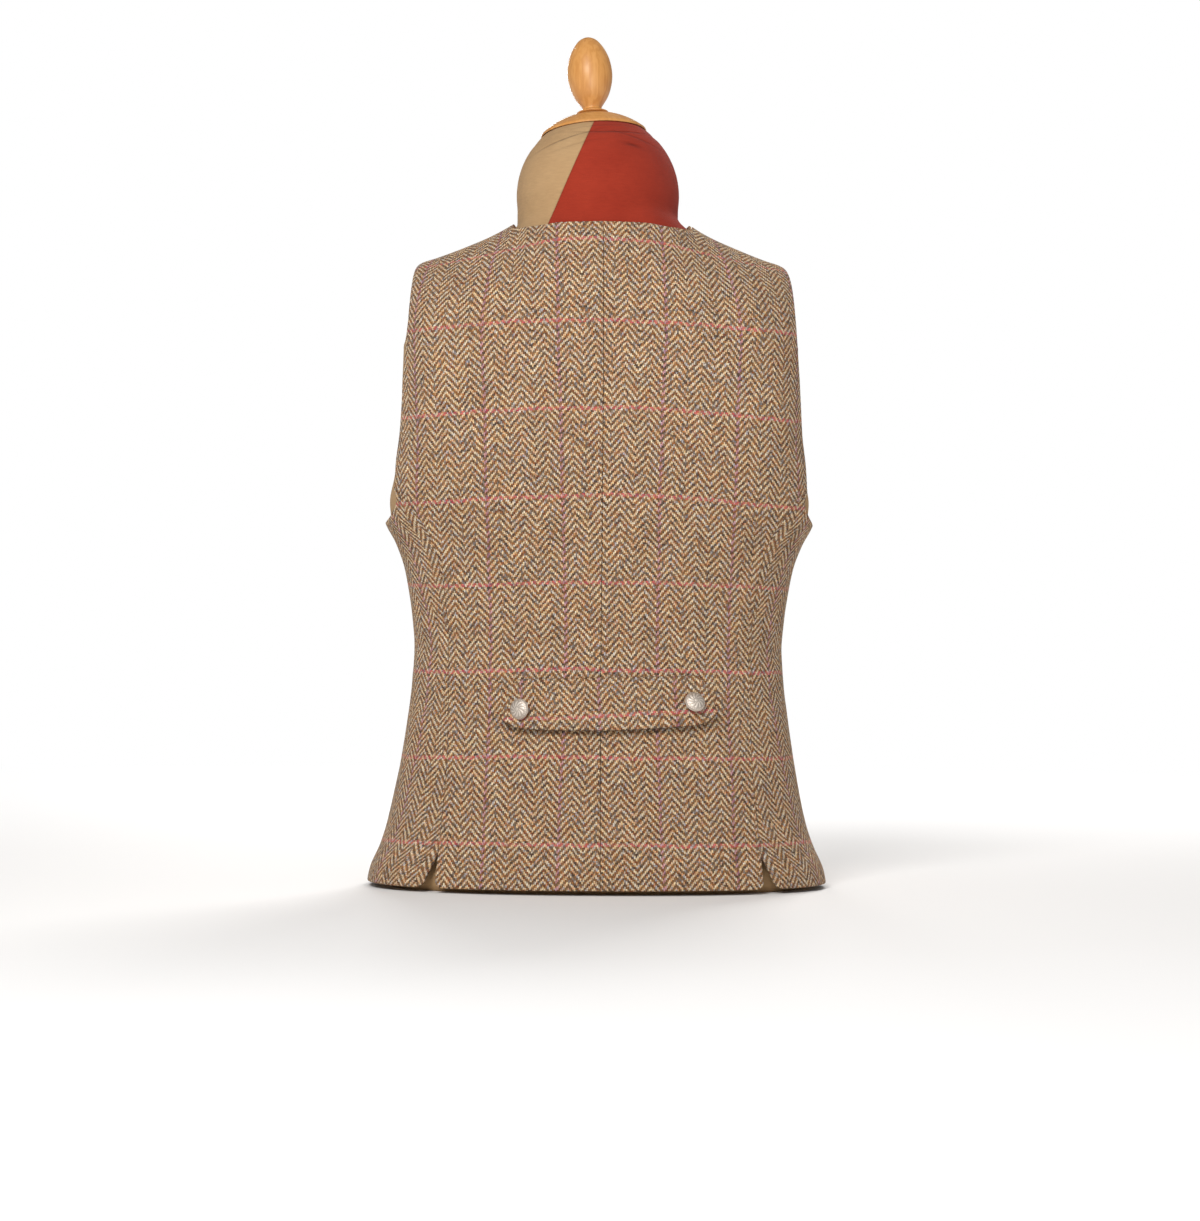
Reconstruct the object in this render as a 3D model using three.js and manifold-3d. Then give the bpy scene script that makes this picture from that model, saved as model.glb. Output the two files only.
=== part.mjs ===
// A tailored waistcoat in tweed, buttoned up on a limbless dress form with a wooden neck cap.
// Millimetres, +Z up. The garment's front faces -Y, and its wearer's left is +X.
// The garment is eight cloth panels, a half belt across the back and seven metal buttons.
import * as THREE from "three";
import { mergeVertices } from "three/addons/utils/BufferGeometryUtils.js";
import Module from "manifold-3d";

const wasm = await Module();
wasm.setup();

// Driving sizes of the cloth.
const CLOTH = 2.2; // tweed and its lining together
const SEAM_GAP = 0.3;
const HEM_Z = 4; // the hem hangs just clear of what the form stands on
const NOTCH_TOP = 30.5; // where the slits at the foot of the back seams end
const UNDERARM_Z = 289;
const BACK_SEAM_TOP = 317; // the back princess seams start on the armhole here
const FRONT_SEAM_TOP = 345;
const NECK_POINT_X = 70; // where neckline and shoulder seam meet
const NECK_BACK_Z = 524.6;
const FRONT_OVERLAP = 16; // each front runs this far past the centre
const OVERLAP_LIFT = 3.2; // the wearer's right front lies this far out, over the left
const OVERLAP_FLAT = 28; // it lies so up to this far from the centre
const OVERLAP_EASE = 34; // and rises to it over this width

// Driving sizes of the shoulder roll, where the back turns over to the front.
const ROLL_START = 430;
const ROLL_RADIUS = 70; // turns a length along the cloth into an angle
const RIDGE_Y = 10; // the top of the shoulder lies a little towards the back
const SHOULDER = ROLL_START + (ROLL_RADIUS * Math.PI) / 2; // the height of the shoulder seam
const LEVEL_ROWS = 436; // up to here the rows of points run level

// The centre of the whole part is moved onto the origin.
const CENTRE_Y = 20.1;

// Level sections of the cloth's outer face: height, half width, depth behind and before the
// side line, and how square the section is.
const SECTIONS = [
  { z: 0, half: 184.0, back: 112, front: 128, square: 2.3 },
  { z: 14, half: 181.3, back: 110, front: 127, square: 2.3 },
  { z: 33, half: 173.2, back: 106, front: 126, square: 2.25 },
  { z: 52, half: 166.8, back: 102, front: 124, square: 2.2 },
  { z: 91, half: 158.6, back: 95, front: 120, square: 2.2 },
  { z: 129, half: 152.6, back: 88, front: 115, square: 2.2 },
  { z: 167, half: 148.0, back: 84, front: 112, square: 2.2 },
  { z: 190, half: 146.8, back: 83, front: 113, square: 2.2 },
  { z: 216, half: 148.8, back: 86, front: 118, square: 2.25 },
  { z: 235, half: 151.6, back: 88, front: 123, square: 2.3 },
  { z: 254, half: 155.4, back: 90, front: 130, square: 2.35 },
  { z: 272, half: 162.0, back: 92, front: 136, square: 2.4 },
  { z: 292, half: 171.4, back: 95, front: 140, square: 2.6 },
  { z: 305, half: 172.4, back: 96, front: 140, square: 2.8 },
  { z: 325, half: 168.2, back: 98, front: 137, square: 3.1 },
  { z: 360, half: 162.5, back: 100, front: 128, square: 3.4 },
  { z: 400, half: 161.0, back: 99, front: 115, square: 3.6 },
  { z: 430, half: 160.0, back: 97, front: 104, square: 3.6 },
  { z: 480, half: 160.0, back: 92, front: 84, square: 3.6 },
  { z: 525, half: 160.0, back: 87, front: 60, square: 3.6 },
];

// The shoulder line from the neck out to the arm.
const RIDGE = [
  { x: 0, z: 580 },
  { x: 35, z: 563 },
  { x: 56, z: 542 },
  { x: 70, z: 527.6 },
  { x: 87, z: 517.5 },
  { x: 99, z: 512 },
  { x: 131, z: 499.5 },
  { x: 142, z: 496 },
  { x: 149, z: 491 },
  { x: 155, z: 476 },
  { x: 160, z: 442 },
];

// The back panel's outer edge: the princess seam up to the armhole, then the armhole.
const BACK_EDGE = [
  { height: 0, x: 128.6 },
  { height: 30.5, x: 125.9 },
  { height: 72, x: 121.9 },
  { height: 124, x: 118.9 },
  { height: 173, x: 118.8 },
  { height: 204, x: 119.6 },
  { height: 236, x: 122.9 },
  { height: 255, x: 126.5 },
  { height: 271, x: 130.8 },
  { height: 291, x: 142.4 },
  { height: 303, x: 151.0 },
  { height: 317, x: 162.5 },
  { height: 335, x: 161.6 },
  { height: 360, x: 158.6 },
  { height: 400, x: 156.0 },
  { height: 440, x: 153.2 },
  { height: 480, x: 151.0 },
  { height: 510, x: 148.8 },
  { height: 528, x: 146.2 },
  { height: 540, x: 141.5 },
];

// The side panel's rear edge turns away from the back panel's below the top of the slit.
const SLIT_EDGE = [
  { height: 0, x: 139.6 },
  { height: 12, x: 134.8 },
  { height: 30.5, x: 125.9 },
];

// The front panel's outer edge: the princess seam over the bust, then the armhole.
const FRONT_EDGE = [
  { height: 0, x: 101 },
  { height: 90, x: 90 },
  { height: 188, x: 80 },
  { height: 250, x: 86 },
  { height: 290, x: 97 },
  { height: 322, x: 121 },
  { height: 345, x: 138 },
  { height: 385, x: 135 },
  { height: 430, x: 134 },
  { height: 480, x: 137.5 },
  { height: 522, x: 142 },
  { height: 540, x: 141.5 },
];

// The front panel's inner edge: the buttoned edge up to the top button, then the V neck.
const NECK_EDGE = [
  { height: 0, x: -16 },
  { height: 296, x: -16 },
  { height: 330, x: 5 },
  { height: 380, x: 30 },
  { height: 430, x: 50 },
  { height: 485, x: 64 },
  { height: 540, x: 70 },
];

// The panels' columns cross the shoulder seam at these distances from the centre.
const SHOULDER_X = [NECK_POINT_X, 79, 91, 104, 117, 129, 137, 141.5];
const NECK_SHARES = [0, 0.2, 0.4, 0.58, 0.74, 0.86, 0.94]; // and the neckline at these shares

// Corner radii.
const SLIT_CORNER = 6;
const FRONT_CORNER = 24;

// Widths of the panels along the hem.
const BACK_HEM = 126;
const SIDE_BACK_HEM = 90;
const FRONT_HEM = 101 + FRONT_OVERLAP;

// The half belt across the back.
const BELT = {
  centreX: -6.2,
  centreZ: 148,
  tilt: 0.026,
  halfLength: 83,
  halfHeight: 20,
  topHalfLength: 68, // its ends slope out from here
  endDrop: 6, // to their furthest point, this far below the middle
  footHalfLength: 61,
  sag: 2,
  thickness: 2.4,
  clear: 0.55, // its upper edge lies this far off the back
  standOff: 1.9, // and its lower edge this much further
};

// Buttons: domed, with a shank. Lean is how far each has turned on its shank.
const BUTTON = { radius: 8.2, dome: 3.2, rim: 1.3, shank: 2.4, shankLength: 3.4 };
const FRONT_BUTTON_TOP = 294;
const FRONT_BUTTON_STEP = 53;
const FRONT_BUTTON_LEANS = [-5, 4, -3, 6, -6];
const BELT_BUTTONS = [
  { word: "left", x: 61.2, z: 142.2, leanRound: -0.38, leanUp: 0.06 },
  { word: "right", x: -71.2, z: 148.3, leanRound: 0.05, leanUp: -0.38 },
];

// The dress form.
const FORM_GAP = [
  { z: 0, gap: 17 },
  { z: 4, gap: 12 },
  { z: 14, gap: 9 },
  { z: 60, gap: 7 },
  { z: 190, gap: 6 },
  { z: 300, gap: 3.2 },
  { z: 380, gap: 1.4 },
  { z: 440, gap: 0.9 },
];
const NECK = { radius: 65, x: 2.8, y: -1, z: 551, waistDrop: 10, foot: 470 };
// The cap thins towards its rim, and sits just clear of the neck's round head.
const CAP = { radius: 42, clear: 0.6, thickness: 2.6, rimThinning: 1.1, lip: 0.5 };
// The finial's turned profile, above its foot.
const FINIAL = [
  { z: 0, r: 0 },
  { z: 0, r: 12.4 },
  { z: 1.1, r: 12.7 },
  { z: 2.5, r: 9.6 },
  { z: 4, r: 7.6 },
  { z: 6, r: 8.2 },
  { z: 9.5, r: 10.5 },
  { z: 13.3, r: 13 },
  { z: 19.3, r: 15.6 },
  { z: 27.3, r: 17.6 },
  { z: 34.8, r: 18 },
  { z: 43, r: 16.9 },
  { z: 48.8, r: 15.1 },
  { z: 54.6, r: 12.3 },
  { z: 60.5, r: 7.9 },
  { z: 63.2, r: 3.4 },
  { z: 63.8, r: 0 },
];
const CAP_LEAN_FORWARD = 0.16;
const CAP_LEAN_SIDE = 0.066;

// Colours.
const TWEED = 0xa5866e;
const LINEN = 0xbd9c76;
const WOOD = 0xe0ac70;
const PEWTER = 0xb3a699;

// A smooth curve through a table's rows, which never swings past them.
function read(rows, key, column, at) {
  const last = rows.length - 1;
  if (at <= rows[0][key]) return rows[0][column];
  if (at >= rows[last][key]) return rows[last][column];
  let i = 0;
  while (at > rows[i + 1][key]) i++;
  const slope = (k) => (rows[k + 1][column] - rows[k][column]) / (rows[k + 1][key] - rows[k][key]);
  const tangent = (k) => {
    if (k === 0) return slope(0);
    if (k === last) return slope(last - 1);
    const product = slope(k - 1) * slope(k);
    return product <= 0 ? 0 : (2 * product) / (slope(k - 1) + slope(k));
  };
  const width = rows[i + 1][key] - rows[i][key];
  const t = (at - rows[i][key]) / width;
  const start = rows[i][column] * (1 + 2 * t) * (1 - t) ** 2;
  const end = rows[i + 1][column] * t * t * (3 - 2 * t);
  const bend = width * t * (1 - t) * (tangent(i) * (1 - t) - tangent(i + 1) * t);
  return start + end + bend;
}

const smooth = (t) => {
  const clamped = Math.min(Math.max(t, 0), 1);
  return clamped * clamped * (3 - 2 * clamped);
};

const section = (column, z) => read(SECTIONS, "z", column, z);

// The height of the shoulder line, for a body that lies inset inside the cloth's outer face.
function ridge(x, inset) {
  const slope = read(RIDGE, "x", "z", x + 0.5) - read(RIDGE, "x", "z", x - 0.5);
  return read(RIDGE, "x", "z", x) - inset * Math.hypot(1, slope);
}

// A point of the worn shape. Turn runs round the body from the centre back (0) past the
// wearer's left side (a quarter turn) to the centre front (half a turn). Height is a level up
// to the shoulders, and from there a length that rolls over them.
function skin(turn, height, inset = 0) {
  const level = Math.min(height, ROLL_START);
  const square = section("square", level);
  const sine = Math.abs(Math.sin(turn));
  const cosine = Math.abs(Math.cos(turn));
  const reach = (sine ** square + cosine ** square) ** (-1 / square);
  const fullHalf = section("half", level);
  const half = fullHalf - inset;
  const across = reach * sine;
  const along = reach * cosine;
  const x = Math.sign(Math.sin(turn)) * half * across;
  const side = Math.sign(Math.cos(turn)) || 1;
  if (height <= ROLL_START) {
    const depth = section(side > 0 ? "back" : "front", height) - inset;
    return new THREE.Vector3(x, side * depth * along, height);
  }
  const roll = (height - ROLL_START) / ROLL_RADIUS;
  const top = ridge(fullHalf * across, inset);
  const z = ROLL_START + (top - ROLL_START) * Math.sin(roll);
  const facing = side * (Math.sign(Math.cos(roll)) || 1);
  const depth = section(facing > 0 ? "back" : "front", z) - inset;
  const y = RIDGE_Y + (facing * depth - RIDGE_Y) * Math.abs(Math.cos(roll));
  return new THREE.Vector3(x, y * along, z);
}

// The turn at which a level reaches the distance x from the centre, on the back or the front.
function turnAt(x, height, front) {
  const level = Math.min(height, ROLL_START);
  const square = section("square", level);
  const share = Math.min(Math.abs(x) / section("half", level), 0.9999);
  const turn = Math.sign(x) * Math.atan2(share, (1 - share ** square) ** (1 / square));
  return front ? Math.PI - turn : turn;
}

// The outward normal of the worn shape.
function normal(turn, height) {
  const step = 0.01;
  const round = skin(turn + step, height).sub(skin(turn - step, height));
  const up = skin(turn, height + 1).sub(skin(turn, height - 1));
  return up.cross(round).normalize();
}

// The turn that a length along the cloth makes at this place.
function turnOf(length, turn, height) {
  return (length * 0.02) / skin(turn + 0.01, height).distanceTo(skin(turn - 0.01, height));
}

const meshOf = (name, geometry, color, roughness, metalness = 0) => {
  geometry.computeVertexNormals();
  const material = new THREE.MeshStandardMaterial({ color, roughness, metalness });
  material.flatShading = true;
  const mesh = new THREE.Mesh(geometry, material);
  mesh.name = name;
  return mesh;
};

// A closed wall from a grid of outer points and the inner points behind them.
function wall(outer, inner, mirrored) {
  const columns = outer.length;
  const rows = outer[0].length;
  const points = [...outer.flat(), ...inner.flat()];
  const id = (layer, i, j) => layer * columns * rows + i * rows + j;
  const faces = [];
  const quad = (a, b, c, d) => faces.push([a, b, c], [a, c, d]);
  for (let i = 0; i + 1 < columns; i++) {
    for (let j = 0; j + 1 < rows; j++) {
      quad(id(0, i, j), id(0, i + 1, j), id(0, i + 1, j + 1), id(0, i, j + 1));
      quad(id(1, i, j), id(1, i, j + 1), id(1, i + 1, j + 1), id(1, i + 1, j));
    }
    quad(id(0, i, 0), id(1, i, 0), id(1, i + 1, 0), id(0, i + 1, 0));
    quad(id(0, i, rows - 1), id(0, i + 1, rows - 1), id(1, i + 1, rows - 1), id(1, i, rows - 1));
  }
  for (let j = 0; j + 1 < rows; j++) {
    quad(id(0, 0, j), id(0, 0, j + 1), id(1, 0, j + 1), id(1, 0, j));
    quad(id(0, columns - 1, j), id(1, columns - 1, j), id(1, columns - 1, j + 1), id(0, columns - 1, j + 1));
  }
  return closed(points, faces, mirrored);
}

// A geometry from points and faces, mirrored to the wearer's right where asked.
function closed(points, faces, mirrored = false) {
  const sign = mirrored ? -1 : 1;
  const geometry = new THREE.BufferGeometry();
  const coordinates = points.flatMap((p) => [sign * p.x, p.y, p.z]);
  geometry.setAttribute("position", new THREE.Float32BufferAttribute(coordinates, 3));
  geometry.setIndex(faces.flatMap(([a, b, c]) => (mirrored ? [a, b, c] : [a, c, b])));
  return geometry;
}

// Even shares of a length, after closer ones at its start.
function shares(count, close = []) {
  const start = close.length ? close[close.length - 1] : 0;
  const even = Array.from({ length: count + 1 }, (_, i) => start + ((1 - start) * i) / count);
  return close.length ? [0, ...close.slice(0, -1), ...even] : even;
}

// How far a rounded corner lifts the hem at this distance from the edge.
function cornerLift(distance, radius) {
  if (distance >= radius) return 0;
  return radius - Math.sqrt(radius ** 2 - (radius - distance) ** 2);
}

// One cloth panel, between two edges that give a turn for each height.
function clothPanel({ near, far, columns, rows, lift = () => 0, mirrored }) {
  const outer = [];
  const inner = [];
  for (const u of columns) {
    const outerLine = [];
    const innerLine = [];
    for (const row of rows) {
      const height = row(u);
      const from = near(height) + turnOf(SEAM_GAP / 2, near(height), height);
      const to = far(height) - turnOf(SEAM_GAP / 2, far(height), height);
      const turn = from + (to - from) * u;
      const out = normal(turn, height);
      const point = skin(turn, height).addScaledVector(out, lift(turn, height));
      outerLine.push(point);
      innerLine.push(point.clone().addScaledVector(out, -CLOTH));
    }
    outer.push(outerLine);
    inner.push(innerLine);
  }
  return wall(outer, inner, mirrored);
}

const backEdge = (height) => turnAt(read(BACK_EDGE, "height", "x", height), height, false);
const frontEdge = (height) => turnAt(read(FRONT_EDGE, "height", "x", height), height, true);
const neckEdge = (height) => turnAt(read(NECK_EDGE, "height", "x", height), height, true);
const slitEdge = (height) =>
  height < NOTCH_TOP ? turnAt(read(SLIT_EDGE, "height", "x", height), height, false) : backEdge(height);
const sideEdge = () => Math.PI / 2;

// Rows up a side panel, as shares of its height, with the top of the slit on a row.
const SIDE_ROWS = shares(13, [0.022, 0.044, 0.0668]);
const ARMHOLE_ROWS = 4;
const ROLL_ROWS = 11;
const SEAM_TOP = SHOULDER - SEAM_GAP / 2;

// The rows of a panel that reaches the shoulder: beside the side panel, along the armhole, and
// over the shoulder, where they fan out from level to the panel's top edge. A row is a share
// of one of these three stretches.
function tallRows(seamTop, bottom, top) {
  const beside = SIDE_ROWS.map((v) => (u) => bottom(u) + (seamTop - bottom(u)) * v);
  const along = shares(ARMHOLE_ROWS).slice(1).map((v) => () => seamTop + (LEVEL_ROWS - seamTop) * v);
  const over = shares(ROLL_ROWS).slice(1).map((v) => (u) => LEVEL_ROWS + (top(u) - LEVEL_ROWS) * v);
  return [...beside, ...along, ...over];
}

// The shares across a panel at which its top edge passes these places on the shoulder.
function shoulderShares(near, far, front) {
  const [start, end] = [near(SEAM_TOP), far(SEAM_TOP)];
  return SHOULDER_X.map((x) => (turnAt(x, SEAM_TOP, front) - start) / (end - start));
}

// The back panel's top edge is the neckline up to the neck point, then the shoulder seam.
function backPanel(name, mirrored) {
  const near = () => 0;
  const shoulder = shoulderShares(near, backEdge, false);
  const neckShare = shoulder[0];
  const top = (u) => {
    const along = Math.min(u / neckShare, 1);
    const edge = NECK_BACK_Z + (ridge(NECK_POINT_X, 0) - NECK_BACK_Z) * along ** 2;
    const rise = (edge - ROLL_START) / (ridge(NECK_POINT_X * along, 0) - ROLL_START);
    return ROLL_START + ROLL_RADIUS * Math.asin(Math.min(rise, 1)) - SEAM_GAP / 2;
  };
  const bottom = (u) => HEM_Z + cornerLift((1 - u) * BACK_HEM, SLIT_CORNER);
  const columns = [...NECK_SHARES.map((u) => u * neckShare), ...shoulder];
  const rows = tallRows(BACK_SEAM_TOP, bottom, top);
  return meshOf(name, clothPanel({ near, far: backEdge, columns, rows, mirrored }), TWEED, 0.95);
}

function sideBackPanel(name, mirrored) {
  const top = (u) => UNDERARM_Z + (BACK_SEAM_TOP - UNDERARM_Z) * (1 - u) ** 3;
  const bottom = (u) => HEM_Z + cornerLift(u * SIDE_BACK_HEM, SLIT_CORNER);
  const rows = SIDE_ROWS.map((v) => (u) => bottom(u) + (top(u) - bottom(u)) * v);
  const columns = shares(6, [0.02, 0.07]);
  return meshOf(name, clothPanel({ near: slitEdge, far: sideEdge, columns, rows, mirrored }), TWEED, 0.95);
}

function sideFrontPanel(name, mirrored) {
  const top = (u) => UNDERARM_Z + (FRONT_SEAM_TOP - UNDERARM_Z) * u ** 2.2;
  const rows = SIDE_ROWS.map((v) => (u) => HEM_Z + (top(u) - HEM_Z) * v);
  const columns = shares(8);
  return meshOf(name, clothPanel({ near: sideEdge, far: frontEdge, columns, rows, mirrored }), TWEED, 0.95);
}

// A front panel runs from its princess seam to its buttoned edge, past the centre.
function frontPanel(name, mirrored, over) {
  const bottom = (u) => HEM_Z + cornerLift((1 - u) * FRONT_HEM, FRONT_CORNER);
  const lift = (turn, height) => {
    const x = skin(turn, height).x;
    return over ? OVERLAP_LIFT * smooth((OVERLAP_FLAT + OVERLAP_EASE - x) / OVERLAP_EASE) : 0;
  };
  const columns = shoulderShares(frontEdge, neckEdge, true).reverse();
  const rows = tallRows(FRONT_SEAM_TOP, bottom, () => SEAM_TOP);
  const geometry = clothPanel({ near: frontEdge, far: neckEdge, columns, rows, lift, mirrored });
  return meshOf(name, geometry, TWEED, 0.95);
}

// A place on the outer face of the back or the front, at x and z.
function placeOn(x, z, front) {
  const turn = turnAt(x, z, front);
  return { point: skin(turn, z), out: normal(turn, z) };
}

// The half belt: a strip with sloping ends and round lower corners, laid over both back panels.
function beltPanel() {
  const columns = [-1, -0.975, -0.93, -0.87, -0.8];
  const middle = shares(8).map((t) => -0.72 + t * 1.44);
  const along = [...columns, ...middle, ...columns.map((a) => -a).reverse()];
  const outer = [];
  const inner = [];
  for (const share of along) {
    const a = share * BELT.halfLength * 0.998;
    const distance = Math.abs(a);
    const slope = (distance - BELT.topHalfLength) / (BELT.halfLength - BELT.topHalfLength);
    const topEdge = BELT.halfHeight - Math.max(slope, 0) ** 1.7 * (BELT.halfHeight + BELT.endDrop);
    const foot = Math.max((distance - BELT.footHalfLength) / (BELT.halfLength - BELT.footHalfLength), 0);
    const round = 1 - Math.sqrt(1 - foot ** 2);
    const sag = BELT.sag * (1 - (a / BELT.footHalfLength) ** 2);
    const footEdge = -BELT.halfHeight - Math.max(sag, 0) + round * (BELT.halfHeight - BELT.endDrop);
    const outerLine = [];
    const innerLine = [];
    for (const v of shares(4)) {
      const b = footEdge + (topEdge - footEdge) * v;
      const x = BELT.centreX + a * Math.cos(BELT.tilt) + b * Math.sin(BELT.tilt);
      const z = BELT.centreZ - a * Math.sin(BELT.tilt) + b * Math.cos(BELT.tilt);
      const { point, out } = placeOn(x, z, false);
      const clear = BELT.clear + BELT.standOff * (1 - v) ** 2;
      innerLine.push(point.clone().addScaledVector(out, clear));
      outerLine.push(point.clone().addScaledVector(out, clear + BELT.thickness));
    }
    outer.push(outerLine);
    inner.push(innerLine);
  }
  return meshOf("back_belt", wall(outer, inner, false), TWEED, 0.95);
}

// A solid of the manifold library from a closed geometry, and back.
function solidOf(geometry) {
  const bare = geometry.clone();
  bare.deleteAttribute("normal");
  bare.deleteAttribute("uv");
  const merged = mergeVertices(bare, 1e-4);
  const vertProperties = merged.attributes.position.array;
  const triVerts = new Uint32Array(merged.index.array);
  return new wasm.Manifold(new wasm.Mesh({ numProp: 3, vertProperties, triVerts }));
}

function geometryOf(solid) {
  const { vertProperties, triVerts } = solid.getMesh();
  const geometry = new THREE.BufferGeometry();
  geometry.setAttribute("position", new THREE.Float32BufferAttribute(vertProperties, 3));
  geometry.setIndex([...triVerts]);
  return geometry;
}

const lathe = (profile, segments) =>
  new THREE.LatheGeometry(profile.map(([r, z]) => new THREE.Vector2(r, z)), segments).rotateX(Math.PI / 2);

// A domed button on a shank that stands on the cloth, its head leaning on the shank.
function buttonMesh(name, place, standOff, leanRound, leanUp) {
  const { radius, dome, rim, shank, shankLength } = BUTTON;
  const profile = [[0, 0], [radius - 0.7, 0], [radius, rim * 0.6], [radius - 0.3, rim]];
  for (const angle of [0.4, 0.8, 1.15]) {
    profile.push([(radius - 0.3) * Math.cos(angle), rim + dome * Math.sin(angle)]);
  }
  profile.push([0, rim + dome]);
  const head = lathe(profile, 20).rotateX(leanUp).rotateY(leanRound).translate(0, 0, shankLength);
  const stem = lathe([[0, 0], [shank, 0], [shank, shankLength + 0.9], [0, shankLength + 0.9]], 10);
  const mesh = meshOf(name, geometryOf(solidOf(head).add(solidOf(stem))), PEWTER, 0.35, 0.9);
  mesh.position.copy(place.point).addScaledVector(place.out, standOff);
  const up = new THREE.Vector3(0, 0, 1);
  const right = up.clone().cross(place.out).normalize();
  const basis = new THREE.Matrix4().makeBasis(right, place.out.clone().cross(right), place.out);
  mesh.quaternion.setFromRotationMatrix(basis);
  return mesh;
}

// The form's torso: rings up to the shoulders, then over them to the shoulder line.
function torsoGeometry() {
  const steps = 60;
  const levels = [0, 4, 14, 36, 60, 95, 130, 165, 200, 232, 258, 280, 300, 322, 350, 390, ROLL_START];
  const rolls = [0.14, 0.3, 0.47, 0.65, 0.85, 1.05, 1.25, 1.43];
  const heights = [...levels, ...rolls.map((roll) => ROLL_START + roll * ROLL_RADIUS)];
  const inset = (height) => CLOTH + read(FORM_GAP, "z", "gap", height);
  const points = [];
  for (const height of heights) {
    for (let i = 0; i < steps; i++) points.push(skin((i / steps) * 2 * Math.PI, height, inset(height)));
  }
  const faces = [];
  const ring = (k, i) => k * steps + (i % steps);
  for (let k = 0; k + 1 < heights.length; k++) {
    for (let i = 0; i < steps; i++) {
      faces.push([ring(k, i), ring(k, i + 1), ring(k + 1, i + 1)]);
      faces.push([ring(k, i), ring(k + 1, i + 1), ring(k + 1, i)]);
    }
  }
  // The shoulder line is shared by the back and the front half of the last ring.
  const last = heights.length - 1;
  const lineHeight = ROLL_START + (ROLL_RADIUS * Math.PI) / 2;
  const lineStart = points.length;
  const quarter = steps / 4;
  for (let i = -quarter; i <= quarter; i++) {
    points.push(skin((i / steps) * 2 * Math.PI, lineHeight, inset(lineHeight)));
  }
  const line = (i) => lineStart + quarter + (Math.abs(i) <= quarter ? i : Math.sign(i) * (steps / 2) - i);
  const fromBack = (i) => ((i + steps / 2) % steps) - steps / 2;
  for (let i = 0; i < steps; i++) {
    const [a, b] = [ring(last, i), ring(last, i + 1)];
    const [c, d] = [line(fromBack(i + 1)), line(fromBack(i))];
    faces.push([a, b, c]);
    if (c !== d) faces.push([a, c, d]);
  }
  const floor = points.length;
  points.push(new THREE.Vector3(0, 0, 0));
  for (let i = 0; i < steps; i++) faces.push([floor, ring(0, i + 1), ring(0, i)]);
  return closed(points, faces);
}

// The form's neck: a column under a round head.
function neckGeometry() {
  const profile = [[0, NECK.foot - NECK.z]];
  const columnRadius = Math.sqrt(NECK.radius ** 2 - NECK.waistDrop ** 2);
  profile.push([columnRadius, NECK.foot - NECK.z]);
  const start = -Math.asin(NECK.waistDrop / NECK.radius);
  const steps = 12;
  for (let i = 0; i < steps; i++) {
    const angle = start + ((Math.PI / 2 - start) * i) / steps;
    profile.push([NECK.radius * Math.cos(angle), NECK.radius * Math.sin(angle)]);
  }
  profile.push([0, NECK.radius]);
  return lathe(profile, 36).translate(NECK.x, NECK.y, NECK.z);
}

// Wooden pieces are turned about the axis that leans on the neck's round head.
function capProfile() {
  const seat = NECK.radius + CAP.clear;
  const rimAngle = Math.asin(CAP.radius / seat);
  const steps = 6;
  const inner = [];
  for (let i = 0; i <= steps; i++) {
    const angle = (rimAngle * i) / steps;
    inner.push([seat * Math.sin(angle), seat * Math.cos(angle)]);
  }
  const rimZ = seat * Math.cos(rimAngle);
  const top = seat + CAP.thickness;
  const outer = [0.98, 0.8, 0.6, 0.4, 0.2].map((share) => {
    const reach = top - CAP.rimThinning * share ** 2;
    return [reach * Math.sin(rimAngle * share), reach * Math.cos(rimAngle * share)];
  });
  return [...inner, [CAP.radius + CAP.lip, rimZ + CAP.lip / 2], ...outer, [0, top]];
}

function finialProfile() {
  const foot = NECK.radius + CAP.clear + CAP.thickness + SEAM_GAP;
  return FINIAL.map((row) => [row.r, foot + row.z]);
}

function woodMesh(name, profile, segments) {
  return meshOf(name, lathe(profile, segments), WOOD, 0.45);
}

const part = new THREE.Group();
const centred = new THREE.Group();
centred.position.y = CENTRE_Y;
part.add(centred);

for (const [word, mirrored] of [["left", false], ["right", true]]) {
  centred.add(backPanel(`back_${word}`, mirrored));
  centred.add(sideBackPanel(`side_back_${word}`, mirrored));
  centred.add(sideFrontPanel(`side_front_${word}`, mirrored));
  centred.add(frontPanel(`front_${word}`, mirrored, mirrored));
}
centred.add(beltPanel());

const beltTop = BELT.clear + BELT.thickness + 1.1;
for (const button of BELT_BUTTONS) {
  const place = placeOn(button.x, button.z, false);
  centred.add(buttonMesh(`belt_button_${button.word}`, place, beltTop, button.leanRound, button.leanUp));
}
FRONT_BUTTON_LEANS.forEach((lean, i) => {
  const place = placeOn(0.01, FRONT_BUTTON_TOP - i * FRONT_BUTTON_STEP, true);
  const angle = THREE.MathUtils.degToRad(lean);
  centred.add(buttonMesh(`front_button_${i + 1}`, place, OVERLAP_LIFT + 0.6, angle, angle / 2));
});

const torso = solidOf(torsoGeometry()).add(solidOf(neckGeometry()));
centred.add(meshOf("form_body", geometryOf(torso), LINEN, 0.9));

const turned = new THREE.Group();
turned.position.set(NECK.x, NECK.y, NECK.z);
turned.rotation.set(CAP_LEAN_FORWARD, CAP_LEAN_SIDE, 0);
turned.add(woodMesh("form_cap", capProfile(), 32));
turned.add(woodMesh("form_finial", finialProfile(), 24));
centred.add(turned);

export default part;
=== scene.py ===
"""A tweed waistcoat on a limbless dress form, seen from behind.

Blender works in metres, +Z up, and the garment's front faces -Y. The garment's own tables are in
millimetres, about its side line, and are moved and scaled as each mesh is made.
"""
import math

import bpy
import numpy as np
from mathutils import Matrix, Vector


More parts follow.
